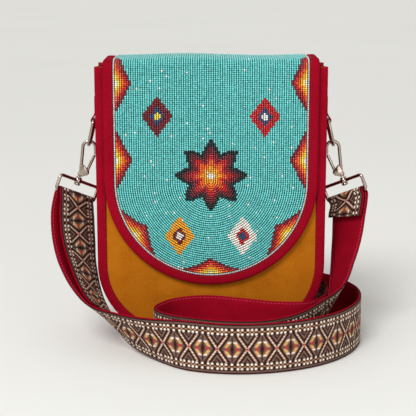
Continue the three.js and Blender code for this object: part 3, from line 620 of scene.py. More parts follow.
# %% The U of the pouch
BAG_SHIFT = 0.45
BAG_HALF = 112.5
BODY_HEIGHT, BODY_HALF_DEPTH, BODY_RADIUS = 271, 26, 75
FELT_THICKNESS = 3
BINDING_WIDTH, BINDING_CLOTH = 9.5, 1.2
PANEL_BACK = BODY_HALF_DEPTH - BINDING_CLOTH - GAP - FELT_THICKNESS
SIDE_STEPS, CORNER_STEP = 30, 4


def u_line(half, radius, foot, top):
    """Points of a U and their inward directions, from the left top round the foot to the right top."""
    drop = top - foot - radius
    left = [((-half, top - drop * i / SIDE_STEPS), (1.0, 0.0)) for i in range(SIDE_STEPS)]
    turns = round(radius * math.pi / 2 / CORNER_STEP)
    for i in range(turns + 1):
        angle = math.pi + math.pi / 2 * i / turns
        dx, dv = -math.cos(angle), -math.sin(angle)
        left.append(((-half + radius - radius * dx, foot + radius - radius * dv), (dx, dv)))
    right = [((-x, v), (-dx, dv)) for (x, v), (dx, dv) in reversed(left)]
    return left + (right if half > radius else right[1:])


def round_the_u(line, section, lay):
    """A skin from a section of (inset, height) that is carried round a U and laid on a sheet."""
    return loft([[lay(x + dx * inset, v + dv * inset, height) for inset, height in section]
                 for (x, v), (dx, dv) in line])


def folded_edge(width, sheet):
    """Section of a cloth strip folded round a sheet's edge, a little fuller in each leaf's middle."""
    leaf = [(width, 0.9), (width - 0.5, 1.25), (width - 2.2, 1.5), (width / 2, 1.72), (2.4, 1.62),
            (1.1, 1.2), (0.35, 0.4)]
    front = [(inset, sheet + height) for inset, height in leaf]
    back = [(inset, -height) for inset, height in leaf]
    inner = BINDING_CLOTH + GAP
    slot = [(width, -GAP), (inner, -GAP), (inner, sheet + GAP), (width, sheet + GAP)]
    return front + [(0.0, sheet / 2)] + back[::-1] + slot


def on_front(x, v, h):
    return Vector((x, BAG_SHIFT - PANEL_BACK - h, v))


def on_back(x, v, h):
    return Vector((x, BAG_SHIFT + PANEL_BACK + h, v))


PANELS = (("front", on_front), ("back", on_back))
body_line = u_line(BAG_HALF, BODY_RADIUS, 0, BODY_HEIGHT)
body_fold = folded_edge(BINDING_WIDTH, FELT_THICKNESS)
for side, lay in PANELS:
    strip = make_piece(side + "_bound_edge", round_the_u(body_line, body_fold, lay), red_twill)
    settle(strip, "red_cloth", side + "_binding")
print("bound edge points:", len(body_line))

# %% [markdown]
# ## Felt panels and gusset
# A panel is made of level rows from the foot to the mouth, each as wide as the U is there, so that
# it can swell. The gusset sinks in most at mid height and near the mouth, and stays flat behind the
# rings.

# %% Felt panels and gusset
PANEL_INSET = BINDING_CLOTH + 2 * GAP
PANEL_SWELL, MOUTH_FLATNESS = 1.8, 0.8
PANEL_RIPPLE, RIPPLE_ACROSS, RIPPLE_UP = 0.25, (17, 41), (31, 23)
SWELL_FROM, SWELL_FULL, SWELL_FALLS = 6, 90, 150
PANEL_CURVED_ROWS, PANEL_STRAIGHT_ROWS, PANEL_HALF_COLUMNS = 18, 28, 20
GUSSET_REACH, GUSSET_INSET, GUSSET_THICKNESS, GUSSET_HALF_COLUMNS = 19.7, 1.2, 2.4, 7
GUSSET_SINK, MOUTH_SINK = 4.5, 0.7
SINK_FROM, SINK_FULL, SINK_FALLS, SINK_ENDS, SINK_AGAIN = 20, 110, 165, 205, 245


def half_width(v):
    """Half the width of a panel at a height over the foot."""
    radius = BODY_RADIUS - PANEL_INSET
    below = max(BODY_RADIUS - v, 0)
    return BAG_HALF - BODY_RADIUS + math.sqrt(max(radius ** 2 - below ** 2, 0))


def panel_rows():
    """Rows of (x, height over the foot, swell) across a panel."""
    turns = [math.pi / 2 * i / PANEL_CURVED_ROWS for i in range(PANEL_CURVED_ROWS)]
    levels = [PANEL_INSET + (BODY_RADIUS - PANEL_INSET) * (1 - math.cos(turn)) for turn in turns]
    levels += [BODY_RADIUS + (BODY_HEIGHT - BODY_RADIUS) * i / PANEL_STRAIGHT_ROWS
               for i in range(PANEL_STRAIGHT_ROWS + 1)]
    for v in levels:
        upright = ease(v, SWELL_FROM, SWELL_FULL)
        upright *= 1 - MOUTH_FLATNESS * ease(v, SWELL_FALLS, BODY_HEIGHT)
        row = []
        for i in range(2 * PANEL_HALF_COLUMNS + 1):
            x = half_width(v) * (i / PANEL_HALF_COLUMNS - 1)
            ripple = PANEL_RIPPLE * math.sin(x / RIPPLE_ACROSS[0] + v / RIPPLE_UP[0])
            ripple *= math.sin(v / RIPPLE_UP[1] - x / RIPPLE_ACROSS[1])
            row.append((x, v, (PANEL_SWELL + ripple) * (1 - (x / BAG_HALF) ** 2) * upright))
        yield row


rows = list(panel_rows())
for side, lay in PANELS:
    rings = [[lay(x, v, swell + FELT_THICKNESS) for x, v, swell in row]
             + [lay(x, v, swell) for x, v, swell in reversed(row)] for row in rows]
    settle(make_piece(side + "_felt", loft(rings), ochre_felt), "ochre_felt", side + "_panel")

gusset_section = []
for i in range(2 * GUSSET_HALF_COLUMNS + 1):
    y = GUSSET_REACH * (i / GUSSET_HALF_COLUMNS - 1)
    gusset_section.append((y, GUSSET_INSET, 1 - (y / GUSSET_REACH) ** 2))
gusset_section += [(y, inset + GUSSET_THICKNESS, sink) for y, inset, sink in reversed(gusset_section)]
gusset_rings = []
for (x, v), (dx, dv) in body_line:
    deep = ease(v, SINK_FROM, SINK_FULL) * (1 - ease(v, SINK_FALLS, SINK_ENDS))
    deep = GUSSET_SINK * (deep + MOUTH_SINK * ease(v, SINK_AGAIN, BODY_HEIGHT))
    ring = [(y, inset + deep * sink) for y, inset, sink in gusset_section]
    gusset_rings.append([Vector((x + dx * inset, BAG_SHIFT + y, v + dv * inset)) for y, inset in ring])
settle(make_piece("gusset_cloth", loft(gusset_rings), red_twill), "red_cloth", "gusset")
print("panel rows:", len(rows), "gusset rings:", len(gusset_rings))

# %% [markdown]
# ## The flap
# The flap is a sheet that rises over the front, rolls over the mouth and is sewn down the back. It is
# easiest to draw it flat, as a width and a length from the foot of the bag, and then to lay each
# point where the sheet really is. The roll isn't quite straight along the top, so a gentle wave lifts
# it there.

# %% The flap's sheet
FLAP_HALF, FLAP_FOOT = 104, 56
FLAP_BACKING = 2
FLAP_FOLD_RADIUS = 6
FLAP_SAG = 1.5
FLAP_BACK_LENGTH = 48
FLAP_BINDING_WIDTH = 9.5
FLAP_FACE = BODY_HALF_DEPTH + BINDING_CLOTH + 2 * GAP
FLAP_MIDDLE = FLAP_FOOT + FLAP_HALF
FOLD_START = BODY_HEIGHT - FLAP_SAG
FOLD_ARC = math.pi / 2 * FLAP_FOLD_RADIUS
FOLD_END = FOLD_START + 2 * FOLD_ARC + 2 * (FLAP_FACE - FLAP_FOLD_RADIUS)
FLAP_END = FOLD_END + FLAP_BACK_LENGTH
TOP_WAVE, WAVE_OFFSET, WAVE_LENGTH, WAVE_FROM = 0.9, 62, 24, 190
CURVED_ROWS, STRAIGHT_ROWS, TOP_ROWS, BACK_ROWS, FLAP_HALF_COLUMNS = 24, 16, 36, 8, 16
flap_reach = FLAP_HALF - PANEL_INSET


def on_flap(x, v, h):
    """A point of the flap from its width, its length from the foot and its height over the sheet."""
    radius = FLAP_FOLD_RADIUS + h
    centre = FLAP_FACE - FLAP_FOLD_RADIUS
    if v <= FOLD_START:
        y, z = -FLAP_FACE - h, v
    elif v <= FOLD_START + FOLD_ARC:
        angle = (v - FOLD_START) / FLAP_FOLD_RADIUS
        y, z = -centre - radius * math.cos(angle), FOLD_START + radius * math.sin(angle)
    elif v <= FOLD_END - FOLD_ARC:
        y, z = -centre + v - FOLD_START - FOLD_ARC, FOLD_START + radius
    elif v <= FOLD_END:
        angle = (FOLD_END - v) / FLAP_FOLD_RADIUS
        y, z = centre + radius * math.cos(angle), FOLD_START + radius * math.sin(angle)
    else:
        y, z = FLAP_FACE + h, FOLD_START + FOLD_END - v
    wave = TOP_WAVE * math.sin((x + WAVE_OFFSET) / WAVE_LENGTH) * ease(v, WAVE_FROM, FOLD_START)
    wave *= 1 - ease(v, FOLD_END - FOLD_ARC, FLAP_END)
    return Vector((x, BAG_SHIFT + y, z + wave))


def flap_skin(levels, shrink, top, low):
    """A sheet on the flap between two heights, from levels of (half width, length from the foot)."""
    rings = []
    for half, v in levels:
        row = [half * shrink * (i / FLAP_HALF_COLUMNS - 1) for i in range(2 * FLAP_HALF_COLUMNS + 1)]
        level = FLAP_MIDDLE + (v - FLAP_MIDDLE) * shrink if v < FLAP_MIDDLE else v
        rings.append([on_flap(x, level, top) for x in row]
                     + [on_flap(x, level, low) for x in reversed(row)])
    return loft(rings)


over_top = [FOLD_START + (FOLD_END - FOLD_START) * (i + 1) / TOP_ROWS for i in range(TOP_ROWS)]
over_top += [FOLD_END + FLAP_BACK_LENGTH * (i + 1) / BACK_ROWS for i in range(BACK_ROWS)]
flap_line = [((-FLAP_HALF, v), (1.0, 0.0)) for v in reversed(over_top)]
flap_line += u_line(FLAP_HALF, FLAP_HALF, FLAP_FOOT, FOLD_START)
flap_line += [((FLAP_HALF, v), (-1.0, 0.0)) for v in over_top]
flap_fold = folded_edge(FLAP_BINDING_WIDTH, FLAP_BACKING)
flap_edge = make_piece("flap_bound_edge", round_the_u(flap_line, flap_fold, on_flap), red_twill)
settle(flap_edge, "red_cloth", "flap_binding")

flap_turns = [math.pi / 2 * (i + 1) / CURVED_ROWS for i in range(CURVED_ROWS)]
flap_levels = [(flap_reach * math.sin(turn), FLAP_MIDDLE - flap_reach * math.cos(turn))
               for turn in flap_turns]
flap_levels += [(flap_reach, FLAP_MIDDLE + (FOLD_START - FLAP_MIDDLE) * (i + 1) / STRAIGHT_ROWS)
                for i in range(STRAIGHT_ROWS)]
flap_levels += [(flap_reach, v) for v in over_top]
flap_sheet = make_piece("flap_felt", flap_skin(flap_levels, 1, FLAP_BACKING, 0), ochre_felt)
settle(flap_sheet, "ochre_felt", "flap_backing")
print("flap length:", round(FLAP_END - FLAP_FOOT), "mm")

# %% [markdown]
# ## One tree for beads and stitches
# A seed bead is a short barrel of glass, threaded in lanes by the thousand, and a stitch is a long
# thin barrel of thread. Geometry Nodes suit both: a barrel is put on each point of a cloud, its axis
# turned along the lane or seam. The cloud carries each barrel's direction, size and colour and the way
# out of the sheet as attributes, and the tree's inputs give the barrel's sizes. Instances don't survive
# the export, so the tree realizes them, and the result is kept as a plain mesh.

# %% The barrel tree
BARREL_SIDES, BARREL_PARTS = 8, 2
CLOUD_LAYERS = (("direction", "FLOAT_VECTOR", "vector"), ("size", "FLOAT", "value"),
                ("bead_colour", "FLOAT_COLOR", "color"), ("outward", "FLOAT_VECTOR", "vector"))


def barrel_tree():
    """A tree that puts one barrel on every point, turned along the point's direction."""
    tree = bpy.data.node_groups.new("barrels_on_points", "GeometryNodeTree")
    for label, kind in (("Geometry", "Geometry"), ("Radius", "Float"), ("Length", "Float"),
                        ("Taper", "Float"), ("Material", "Material")):
        tree.interface.new_socket(label, in_out="INPUT", socket_type="NodeSocket" + kind)
    tree.interface.new_socket("Geometry", in_out="OUTPUT", socket_type="NodeSocketGeometry")
    given = add_node(tree, "NodeGroupInput").outputs
    barrel = add_node(tree, "GeometryNodeMeshCylinder", {
        "Vertices": BARREL_SIDES, "Side Segments": BARREL_PARTS, "Radius": given["Radius"],
        "Depth": given["Length"]})
    # The barrel is full in the middle and tapers towards both ends.
    position = add_node(tree, "GeometryNodeInputPosition")
    spot = add_node(tree, "ShaderNodeSeparateXYZ", {0: position}).outputs
    out = add_node(tree, "ShaderNodeMath", {0: spot["Z"]}, operation="ABSOLUTE")
    share = add_node(tree, "ShaderNodeMath", {0: out, 1: given["Length"]}, operation="DIVIDE")
    less = add_node(tree, "ShaderNodeMath", {0: share, 1: given["Taper"]}, operation="MULTIPLY")
    full = add_node(tree, "ShaderNodeMath", {0: 1.0, 1: less}, operation="SUBTRACT")
    x, y = (add_node(tree, "ShaderNodeMath", {0: spot[axis], 1: full}, operation="MULTIPLY")
            for axis in "XY")
    tapered = add_node(tree, "ShaderNodeCombineXYZ", {0: x, 1: y, 2: spot["Z"]})
    shaped = add_node(tree, "GeometryNodeSetPosition", {"Geometry": barrel, "Position": tapered})
    cloud = add_node(tree, "GeometryNodeMeshToPoints", {"Mesh": given["Geometry"]})
    way, size = (add_node(tree, "GeometryNodeInputNamedAttribute", {"Name": label}, data_type=kind)
                 for label, kind, _ in CLOUD_LAYERS[:2])
    turn = add_node(tree, "FunctionNodeAlignRotationToVector", {"Vector": way}, axis="Z")
    placed = add_node(tree, "GeometryNodeInstanceOnPoints", {
        "Points": cloud, "Instance": shaped, "Rotation": turn, "Scale": size})
    real = add_node(tree, "GeometryNodeRealizeInstances", {"Geometry": placed})
    soft = add_node(tree, "GeometryNodeSetShadeSmooth", {"Geometry": real})
    dressed = add_node(tree, "GeometryNodeSetMaterial", {
        "Geometry": soft, "Material": given["Material"]})
    add_node(tree, "NodeGroupOutput", {"Geometry": dressed})
    return tree


barrels = barrel_tree()
print("nodes in the tree:", len(barrels.nodes))

# %% [markdown]
# A cloud is a mesh of bare points that carries the attributes. The modifier's inputs are set by their
# identifiers, and the evaluated result is copied to a plain mesh before the cloud is removed.

# %% Barrels on a cloud
def barrels_on(name, cloud, radius, length, taper, material):
    """A plain mesh of barrels on a cloud of (place, direction, size, colour, outward)."""
    spots, *layers = zip(*cloud)
    points = bpy.data.meshes.new(name + "_cloud")
    points.from_pydata([spot * MM for spot in spots], [], [])
    for (label, kind, field), values in zip(CLOUD_LAYERS, layers):
        flat = values if kind == "FLOAT" else [part for value in values for part in value]
        points.attributes.new(label, kind, "POINT").data.foreach_set(field, flat)
    holder = put(name + "_cloud", points)
    modifier = holder.modifiers.new("barrels", "NODES")
    modifier.node_group = barrels
    given = {"Radius": radius * MM, "Length": length * MM, "Taper": taper, "Material": material}
    for item in barrels.interface.items_tree:
        if item.in_out == "INPUT" and item.name in given:
            modifier[item.identifier] = given[item.name]
    made = holder.evaluated_get(bpy.context.evaluated_depsgraph_get())
    mesh = bpy.data.meshes.new_from_object(made)
    mesh.name = name
    bpy.data.objects.remove(holder)
    return put(name, mesh)


print("layers of a cloud:", [label for label, *_ in CLOUD_LAYERS])

# %% [markdown]
# ## The beadwork's colours
# The beads lie in nested lanes that follow the flap's edge, so each bead is known by its distance from
# the edge and its distance along it. Stepped flames stand on the edge, white hot in the middle and
# dark outside. A star and four diamonds fill the field, and a few white beads are scattered over the
# turquoise. Each design is a distance that runs from 0 in its middle to 1 at its outline, and a short
# list of colours.

# %% The beadwork's colours
BEAD_PITCH, BEAD_STEP = 2.193, 1.85
EDGE_BEAD = 1.8
EDGE_RADIUS = FLAP_HALF - FLAP_BINDING_WIDTH - 2 * GAP - EDGE_BEAD
QUARTER = math.pi / 2 * EDGE_RADIUS
FLAME_PLACES, FLAME_HALF, FLAME_DEPTH = (0, 88, 166, 241.5), 30, 16
STAR_HEIGHT, STAR_RADIUS, STAR_NOTCH, STAR_POINTS = 166, 36, 0.62, 8
DIAMOND_HALF = (15, 20)
GLASS = {
    "turquoise": "#66CAC7", "pale": "#C4CFD2", "white": "#F2EEE4", "straw": "#F6DC50",
    "amber": "#F6A818", "orange": "#EC6416", "red": "#C6161E", "maroon": "#78101E",
    "navy": "#2C4A74", "black": "#1B191D",
}
FLAME_BANDS = ((0.15, "white"), (0.31, "straw"), (0.47, "amber"), (0.64, "orange"), (0.83, "red"),
               (1.0, "maroon"))
STAR_BANDS = ((0.14, "white"), (0.30, "amber"), (0.46, "orange"), (0.62, "red"), (0.80, "maroon"),
              (1.0, "black"))
DIAMONDS = {
    (-52, 224): ((0.25, "straw"), (0.48, "navy"), (1.0, "maroon")),
    (52, 224): ((0.25, "white"), (0.48, "navy"), (1.0, "red")),
    (-31, 106): ((0.25, "white"), (0.48, "maroon"), (1.0, "amber")),
    (31, 106): ((0.25, "navy"), (0.48, "red"), (1.0, "white")),
}


def band(bands, distance):
    return next((colour for limit, colour in bands if distance <= limit), None)


def along_edge(x, v):
    """Distance inwards from the beaded edge, and along it from the middle of the foot."""
    if v >= FLAP_MIDDLE:
        return EDGE_RADIUS - abs(x), math.copysign(QUARTER + v - FLAP_MIDDLE, x)
    angle = math.atan2(x, FLAP_MIDDLE - v)
    return EDGE_RADIUS - math.hypot(x, v - FLAP_MIDDLE), angle * EDGE_RADIUS


def star_distance(x, v):
    """Share of the way from the middle of the star to its outline."""
    step = math.pi / STAR_POINTS
    angle = math.atan2(x, v - STAR_HEIGHT) % (2 * step)
    tip = min(angle, 2 * step - angle) / step
    outline = STAR_RADIUS * (1 - (1 - STAR_NOTCH) * tip)
    return math.hypot(x, v - STAR_HEIGHT) / outline


def bead_design(x, v):
    """Colour name of the bead at a place on the flat flap, or None in the turquoise field."""
    inward, along = along_edge(x, v)
    designs = [(abs(abs(along) - place) / FLAME_HALF + inward / FLAME_DEPTH, FLAME_BANDS)
               for place in FLAME_PLACES]
    designs.append((star_distance(x, v), STAR_BANDS))
    designs += [(abs(x - cx) / DIAMOND_HALF[0] + abs(v - cv) / DIAMOND_HALF[1], bands)
                for (cx, cv), bands in DIAMONDS.items()]
    return next((band(bands, distance) for distance, bands in designs if distance <= 1), None)


print("designs:", len(FLAME_PLACES) * 2 - 1, "flames,", len(DIAMONDS), "diamonds and a star")

# %% [markdown]
# ## Seed glass
# Glass is smooth and bright: its colour is in the body of the bead, and a clear skin gives each bead
# its own small highlight. The colour is darkened towards the sides of a bead, down between the lanes,
# as painted shade, and is lightest on its crest.

# %% Seed glass
seed_glass, tree, shader = new_material("glass_seed_beads")
glass_colour = add_node(tree, "ShaderNodeAttribute", attribute_name="bead_colour")
away = add_node(tree, "ShaderNodeAttribute", attribute_name="outward").outputs["Vector"]
facing = add_node(tree, "ShaderNodeNewGeometry").outputs["Normal"]
crest = add_node(tree, "ShaderNodeVectorMath", {0: away, 1: facing}, operation="DOT_PRODUCT")
# Painted shade: the colour darkens from each bead's crest towards its sides, down between the lanes.
painted_side_shade = add_node(tree, "ShaderNodeMapRange", {
    "Value": crest.outputs["Value"], "From Min": 0.15, "From Max": 0.85, "To Min": 0.45,
    "To Max": 1.0})
deep = add_node(tree, "ShaderNodeVectorMath", {0: glass_colour, 1: painted_side_shade}, operation="MULTIPLY")
plug(shader, {"Base Color": deep, "Roughness": 0.2, "IOR": 1.52, "Coat Weight": 0.25,
              "Coat Roughness": 0.08})
print("glass:", seed_glass.name)

# %% [markdown]
# ## Lanes of beads
# Each lane runs down the left side, round the foot and up the right side. The beads are threaded at
# even steps with a little play, because no two seed beads are quite alike.

# %% Lanes of beads
BEAD_RADIUS, BEAD_PLAY = 1.08, 0.08
BEAD_LIFT = FLAP_BACKING + GAP + BEAD_RADIUS
# The roll is longer for the beads than for the sheet, because they lie farther out.
ROLL_STRETCH = (FLAP_FOLD_RADIUS + BEAD_LIFT) / FLAP_FOLD_RADIUS
SIDE_PARTS = ((FOLD_START - FLAP_MIDDLE, 1), (FOLD_ARC, ROLL_STRETCH),
              (FOLD_END - FOLD_START - 2 * FOLD_ARC, 1), (FOLD_ARC, ROLL_STRETCH))

play = random.Random(7)
lane_count = round((EDGE_RADIUS - BEAD_RADIUS) / BEAD_PITCH)


def level_at(climbed):
    """Length up the flat flap where a lane has climbed some way past its middle, along the beads."""
    level = FLAP_MIDDLE
    for length, stretch in SIDE_PARTS:
        if climbed < length * stretch:
            return level + climbed / stretch
        climbed -= length * stretch
        level += length
    return level


def lane_points(radius):
    """Places on the flat flap along one lane, from its left end round the foot to its right end."""
    side = sum(length * stretch for length, stretch in SIDE_PARTS)
    total = 2 * side + math.pi * radius
    count = round(total / BEAD_STEP)
    for i in range(count):
        walked = total * (i + 0.5) / count + play.uniform(-BEAD_PLAY, BEAD_PLAY)
        if walked < side:
            yield -radius, level_at(side - walked)
        elif walked > total - side:
            yield radius, level_at(side - (total - walked))
        else:
            angle = (walked - side) / radius - math.pi / 2
            yield radius * math.sin(angle), FLAP_MIDDLE - radius * math.cos(angle)


def lane_way(x, v):
    """Direction of the lane at a place on the flat flap."""
    if v >= FLAP_MIDDLE:
        return 0.0, 1.0
    length = math.hypot(x, v - FLAP_MIDDLE)
    return (FLAP_MIDDLE - v) / length, x / length


print("lanes:", lane_count)

# %% [markdown]
# ## Laying the beads
# Each bead takes the colour of the design at its place, in a shade and size of its own. The field is
# shared out among several clouds, so that no piece has too many triangles.

# %% Laying the beads
BEAD_LENGTH, BEAD_TAPER, EDGE_BEAD_SIZE = 1.78, 0.66, 0.84
BEAD_SHADES, DESIGN_SIZES, FIELD_SIZES = (0.86, 1.12), (0.95, 1.05), (0.93, 1.05)
SCATTER = 0.007
TOP_FROM = 232


def bead(x, v, size, colour):
    """One bead of a cloud, laid on the flap along its lane."""
    dx, dv = (part / 2 for part in lane_way(x, v))
    way = on_flap(x + dx, v + dv, BEAD_LIFT) - on_flap(x - dx, v - dv, BEAD_LIFT)
    shade = play.uniform(*BEAD_SHADES)
    red, green, blue, _ = linear(GLASS[colour])
    place = on_flap(x, v, BEAD_LIFT)
    away = (on_flap(x, v, BEAD_LIFT + 1) - place).normalized()
    return place, way.normalized(), size, (red * shade, green * shade, blue * shade, 1), away


clouds = {part: [] for part in (
    "turquoise_left", "turquoise_right", "top_left", "top_right", "design", "edge")}
for lane in range(lane_count):
    for x, v in lane_points(EDGE_RADIUS - BEAD_RADIUS - lane * BEAD_PITCH):
        colour = bead_design(x, v)
        if colour:
            clouds["design"].append(bead(x, v, play.uniform(*DESIGN_SIZES), colour))
        else:
            part = ("top_" if v > TOP_FROM else "turquoise_") + ("left" if x < 0 else "right")
            colour = "white" if play.random() < SCATTER else "turquoise"
            clouds[part].append(bead(x, v, play.uniform(*FIELD_SIZES), colour))
for x, v in lane_points(FLAP_HALF - FLAP_BINDING_WIDTH - GAP - EDGE_BEAD / 2):
    clouds["edge"].append(bead(x, v, EDGE_BEAD_SIZE, "pale"))

stands_for = {
    "turquoise_left": ("turquoise_beads", "bead_field"),
    "turquoise_right": ("turquoise_beads", "centre_bead_lane"),
    "top_left": ("turquoise_beads",), "top_right": ("turquoise_beads",),
    "design": ("fire_beads", *sorted(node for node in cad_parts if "_motif" in node)),
    "edge": ("pale_beads", "edge_bead_row"),
}
for part, cloud in clouds.items():
    piece = barrels_on(part + "_beads", cloud, BEAD_RADIUS, BEAD_LENGTH, BEAD_TAPER, seed_glass)
    settle(piece, *stands_for[part])
    triangles = sum(len(face.vertices) - 2 for face in piece.data.polygons)
    print(piece.name, len(cloud), "beads,", triangles, "triangles")

# %% [markdown]
# ## Beading cloth and stitches
# The beads are sewn to a cloth whose dark teal is painted shade, the dark line between the lanes. The
# stitches use the same tree as the beads: rose ones run along both edges of the strap's lining, dark
# red ones along the bound edges of the pouch and the flap, and a brown row holds the flap to the back.

# %% Beading cloth and stitches
CLOTH_TOP, CLOTH_FOOT = FLAP_BACKING + 0.6, FLAP_BACKING + 0.1
STITCH_PITCH, STITCH_LENGTH, STITCH_RADIUS, STITCH_TAPER = 3.6, 2.3, 0.26, 0.5
STRAP_STITCH_INSET, STRAP_STITCH_LIFT, EDGE_STITCH_INSET = 2.2, 0.05, 1.4
BACK_STITCH_RISE, BACK_STITCH_INSET = 4, 2
STRAP_THREAD, EDGE_THREAD, BACK_THREAD = "#B03C52", "#6A0614", "#7C4810"

# A backing cloth, but its dark teal is painted shade for the gaps between the lanes of beads.
painted_shade_teal_cloth = cloth_material("beading_cloth_painted_shade", "#1E6062", "#195254", "#144446", 1.2, 0.8, 0.2, 0.0)
beaded_levels = [level for level in flap_levels if level[1] <= FOLD_END]
beading_skin = flap_skin(beaded_levels, EDGE_RADIUS / flap_reach, CLOTH_TOP, CLOTH_FOOT)
settle(make_piece("beading_cloth_painted_shade", beading_skin, painted_shade_teal_cloth), "turquoise_beads")

# Spun polyester thread: matt, and dyed to suit each seam.
sewing_thread, tree, shader = new_material("sewing_thread")
dye = add_node(tree, "ShaderNodeAttribute", attribute_name="bead_colour")
plug(shader, {"Base Color": dye, "Roughness": 0.8})


def seam(line, code):
    """Stitches one pitch apart along a line of places, each turned along the line."""
    up = Vector((0, 0, 1))
    frames, _ = evenly([(place, up, up) for place in line], STITCH_PITCH)
    spots = [place for place, _, _ in frames]
    ways = [spots[min(i + 1, len(spots) - 1)] - spots[max(i - 1, 0)] for i in range(len(spots))]
    return [(spot, way.normalized(), 1.0, linear(code), up) for spot, way in zip(spots, ways)]


strap_seams, bag_seams = [], []
for turn in (1, -1):
    offset = turn * (STRAP_WIDTH / 2 - STRAP_STITCH_INSET)
    strap_seams += seam([place + lean * offset - normal * (STRAP_THICKNESS / 2 + STRAP_STITCH_LIFT)
                         for place, lean, normal in strap_frames], STRAP_THREAD)
inset = BINDING_WIDTH - EDGE_STITCH_INSET
for line, sheet, lay in ((flap_line, FLAP_BACKING, on_flap), (body_line, FELT_THICKNESS, on_front),
                         (body_line, FELT_THICKNESS, on_back)):
    top = sheet + BINDING_CLOTH + GAP
    bag_seams += seam([lay(x + dx * inset, v + dv * inset, top) for (x, v), (dx, dv) in line],
                      EDGE_THREAD)
back_reach = FLAP_HALF - FLAP_BINDING_WIDTH - BACK_STITCH_INSET
bag_seams += seam([on_flap(x, FLAP_END - BACK_STITCH_RISE, FLAP_BACKING)
                   for x in (-back_reach, back_reach)], BACK_THREAD)
for name, cloud in (("strap_stitches", strap_seams), ("bag_stitches", bag_seams)):
    piece = barrels_on(name, cloud, STITCH_RADIUS, STITCH_LENGTH, STITCH_TAPER, sewing_thread)
    settle(piece, "red_cloth")
print("stitches:", len(strap_seams) + len(bag_seams))

# %% [markdown]
# ## Nickel hardware
# Bent wire makes most of the hardware: a line of points and a radius at each of them. The same sweep
# turns posts, pins and balls, because a turned piece is a straight line whose radius changes.

# %% Sweeps
WIRE_SIDES, TURNED_SIDES = 14, 20
DOME_TURNS = (1.45, 1.1, 0.75, 0.35)
EASED_PLATE = ((-0.5, 0.93), (-0.3, 1.0), (0.3, 1.0), (0.5, 0.93))


def around(count):
    """Angles of one full turn in even steps."""
    return [math.tau * k / count for k in range(count)]


def swept(stations, loop=False, sides=WIRE_SIDES):
    """Points and faces of a round skin through stations of (point, radius)."""
    rings, side = [], None
    for i, (point, radius) in enumerate(stations):
        before = stations[i - 1][0] if loop or i else point
        after = stations[(i + 1) % len(stations)][0] if loop or i < len(stations) - 1 else point
        along = (after - before).normalized()
        side = along.orthogonal() if side is None else side
        side = (side - along * side.dot(along)).normalized()
        other = along.cross(side)
        rings.append([point + (side * math.cos(turn) + other * math.sin(turn)) * radius
                      for turn in around(sides)])
    return loft(rings, loop)


def turned(origin, axis, profile):
    """Points and faces of a turned piece from its (distance, radius) along an axis."""
    return swept([(origin + axis * along, radius) for along, radius in profile], sides=TURNED_SIDES)


def bent(line, radius):
    """Stations of a wire with domed ends."""
    dome = [(math.sin(turn), math.cos(turn)) for turn in DOME_TURNS]
    first, last = (line[0] - line[1]).normalized(), (line[-1] - line[-2]).normalized()
    start = [(line[0] + first * radius * out, radius * thin) for out, thin in dome]
    end = [(line[-1] + last * radius * out, radius * thin) for out, thin in reversed(dome)]
    return start + [(point, radius) for point in line] + end


def arc(centre, radius, start, stop, count):
    """Points of a flat arc between two angles in degrees."""
    turns = [math.radians(start + (stop - start) * i / count) for i in range(count + 1)]
    return [(centre[0] + radius * math.cos(turn), centre[1] + radius * math.sin(turn))
            for turn in turns]


def plate(outline, middle, thickness):
    """A flat plate in the X-Z plane with eased edges."""
    cx = sum(x for x, _ in outline) / len(outline)
    cz = sum(z for _, z in outline) / len(outline)
    return loft([[Vector((cx + (x - cx) * size, middle + share * thickness, cz + (z - cz) * size))
                  for x, z in outline] for share, size in EASED_PLATE])


def joined(*shapes):
    """Several shapes as one list of points and one of faces."""
    points, faces = [], []
    for more_points, more_faces in shapes:
        faces += [tuple(index + len(points) for index in face) for face in more_faces]
        points += more_points
    return points, faces


# %% [markdown]
# Nickel plate mirrors its surroundings softly. Fine wear makes its gloss uneven, and a faint warm
# tint sets it apart from chrome.

# %% Nickel
WEAR_SIZE = 3

nickel, tree, shader = new_material("nickel_plate")
place = add_node(tree, "ShaderNodeTexCoord").outputs["Object"]
wear = add_node(tree, "ShaderNodeTexNoise", {
    "Vector": place, "Scale": 1 / (WEAR_SIZE * MM), "Detail": 3.0})
gloss = add_node(tree, "ShaderNodeMapRange", {"Value": wear, "To Min": 0.08, "To Max": 0.2})
plug(shader, {"Base Color": linear("#A3958A"), "Metallic": 1.0, "Roughness": gloss})
print("metal:", nickel.name)

# %% [markdown]
# ## Rings
# A D-ring hangs from each side of the bag, and the strap hangs from a rectangular ring. A collar joins
# that ring to the swivel, on which it can turn.

# %% Rings
WIRE_RADIUS = WIRE / 2
DEPTH = Vector((0, 1, 0))
RING_BAR = Vector((-115, 0, 217))
RING_DOWN = Vector((-6, 0, -25.298)).normalized()
RING_HALF, RING_STRAIGHT, RING_CORNER, CORNER_STEPS = 12.5, 13.5, 3, 6
STRAP_RING_HALF, STRAP_RING_TOP = 27.2, 7
# The swivel's collar has a bore, so its section goes once round, as (radius, distance).
COLLAR_SECTION = ((2.2, 4.8), (3.5, 4.8), (3.8, 5.1), (3.8, 8.9), (3.5, 9.2), (2.2, 9.2))


def bar_corners(half, bar):
    """Flat points of the two round corners at a ring's bar."""
    level = bar + RING_CORNER
    return (arc((half - RING_CORNER, level), RING_CORNER, 0, -90, CORNER_STEPS)
            + arc((-half + RING_CORNER, level), RING_CORNER, -90, -180, CORNER_STEPS))


def d_ring():
    flat = bar_corners(RING_HALF, 0) + arc((0, RING_STRAIGHT), RING_HALF, 180, 0, 24)
    return swept([(RING_BAR + DEPTH * y + RING_DOWN * drop, WIRE_RADIUS) for y, drop in flat], True)


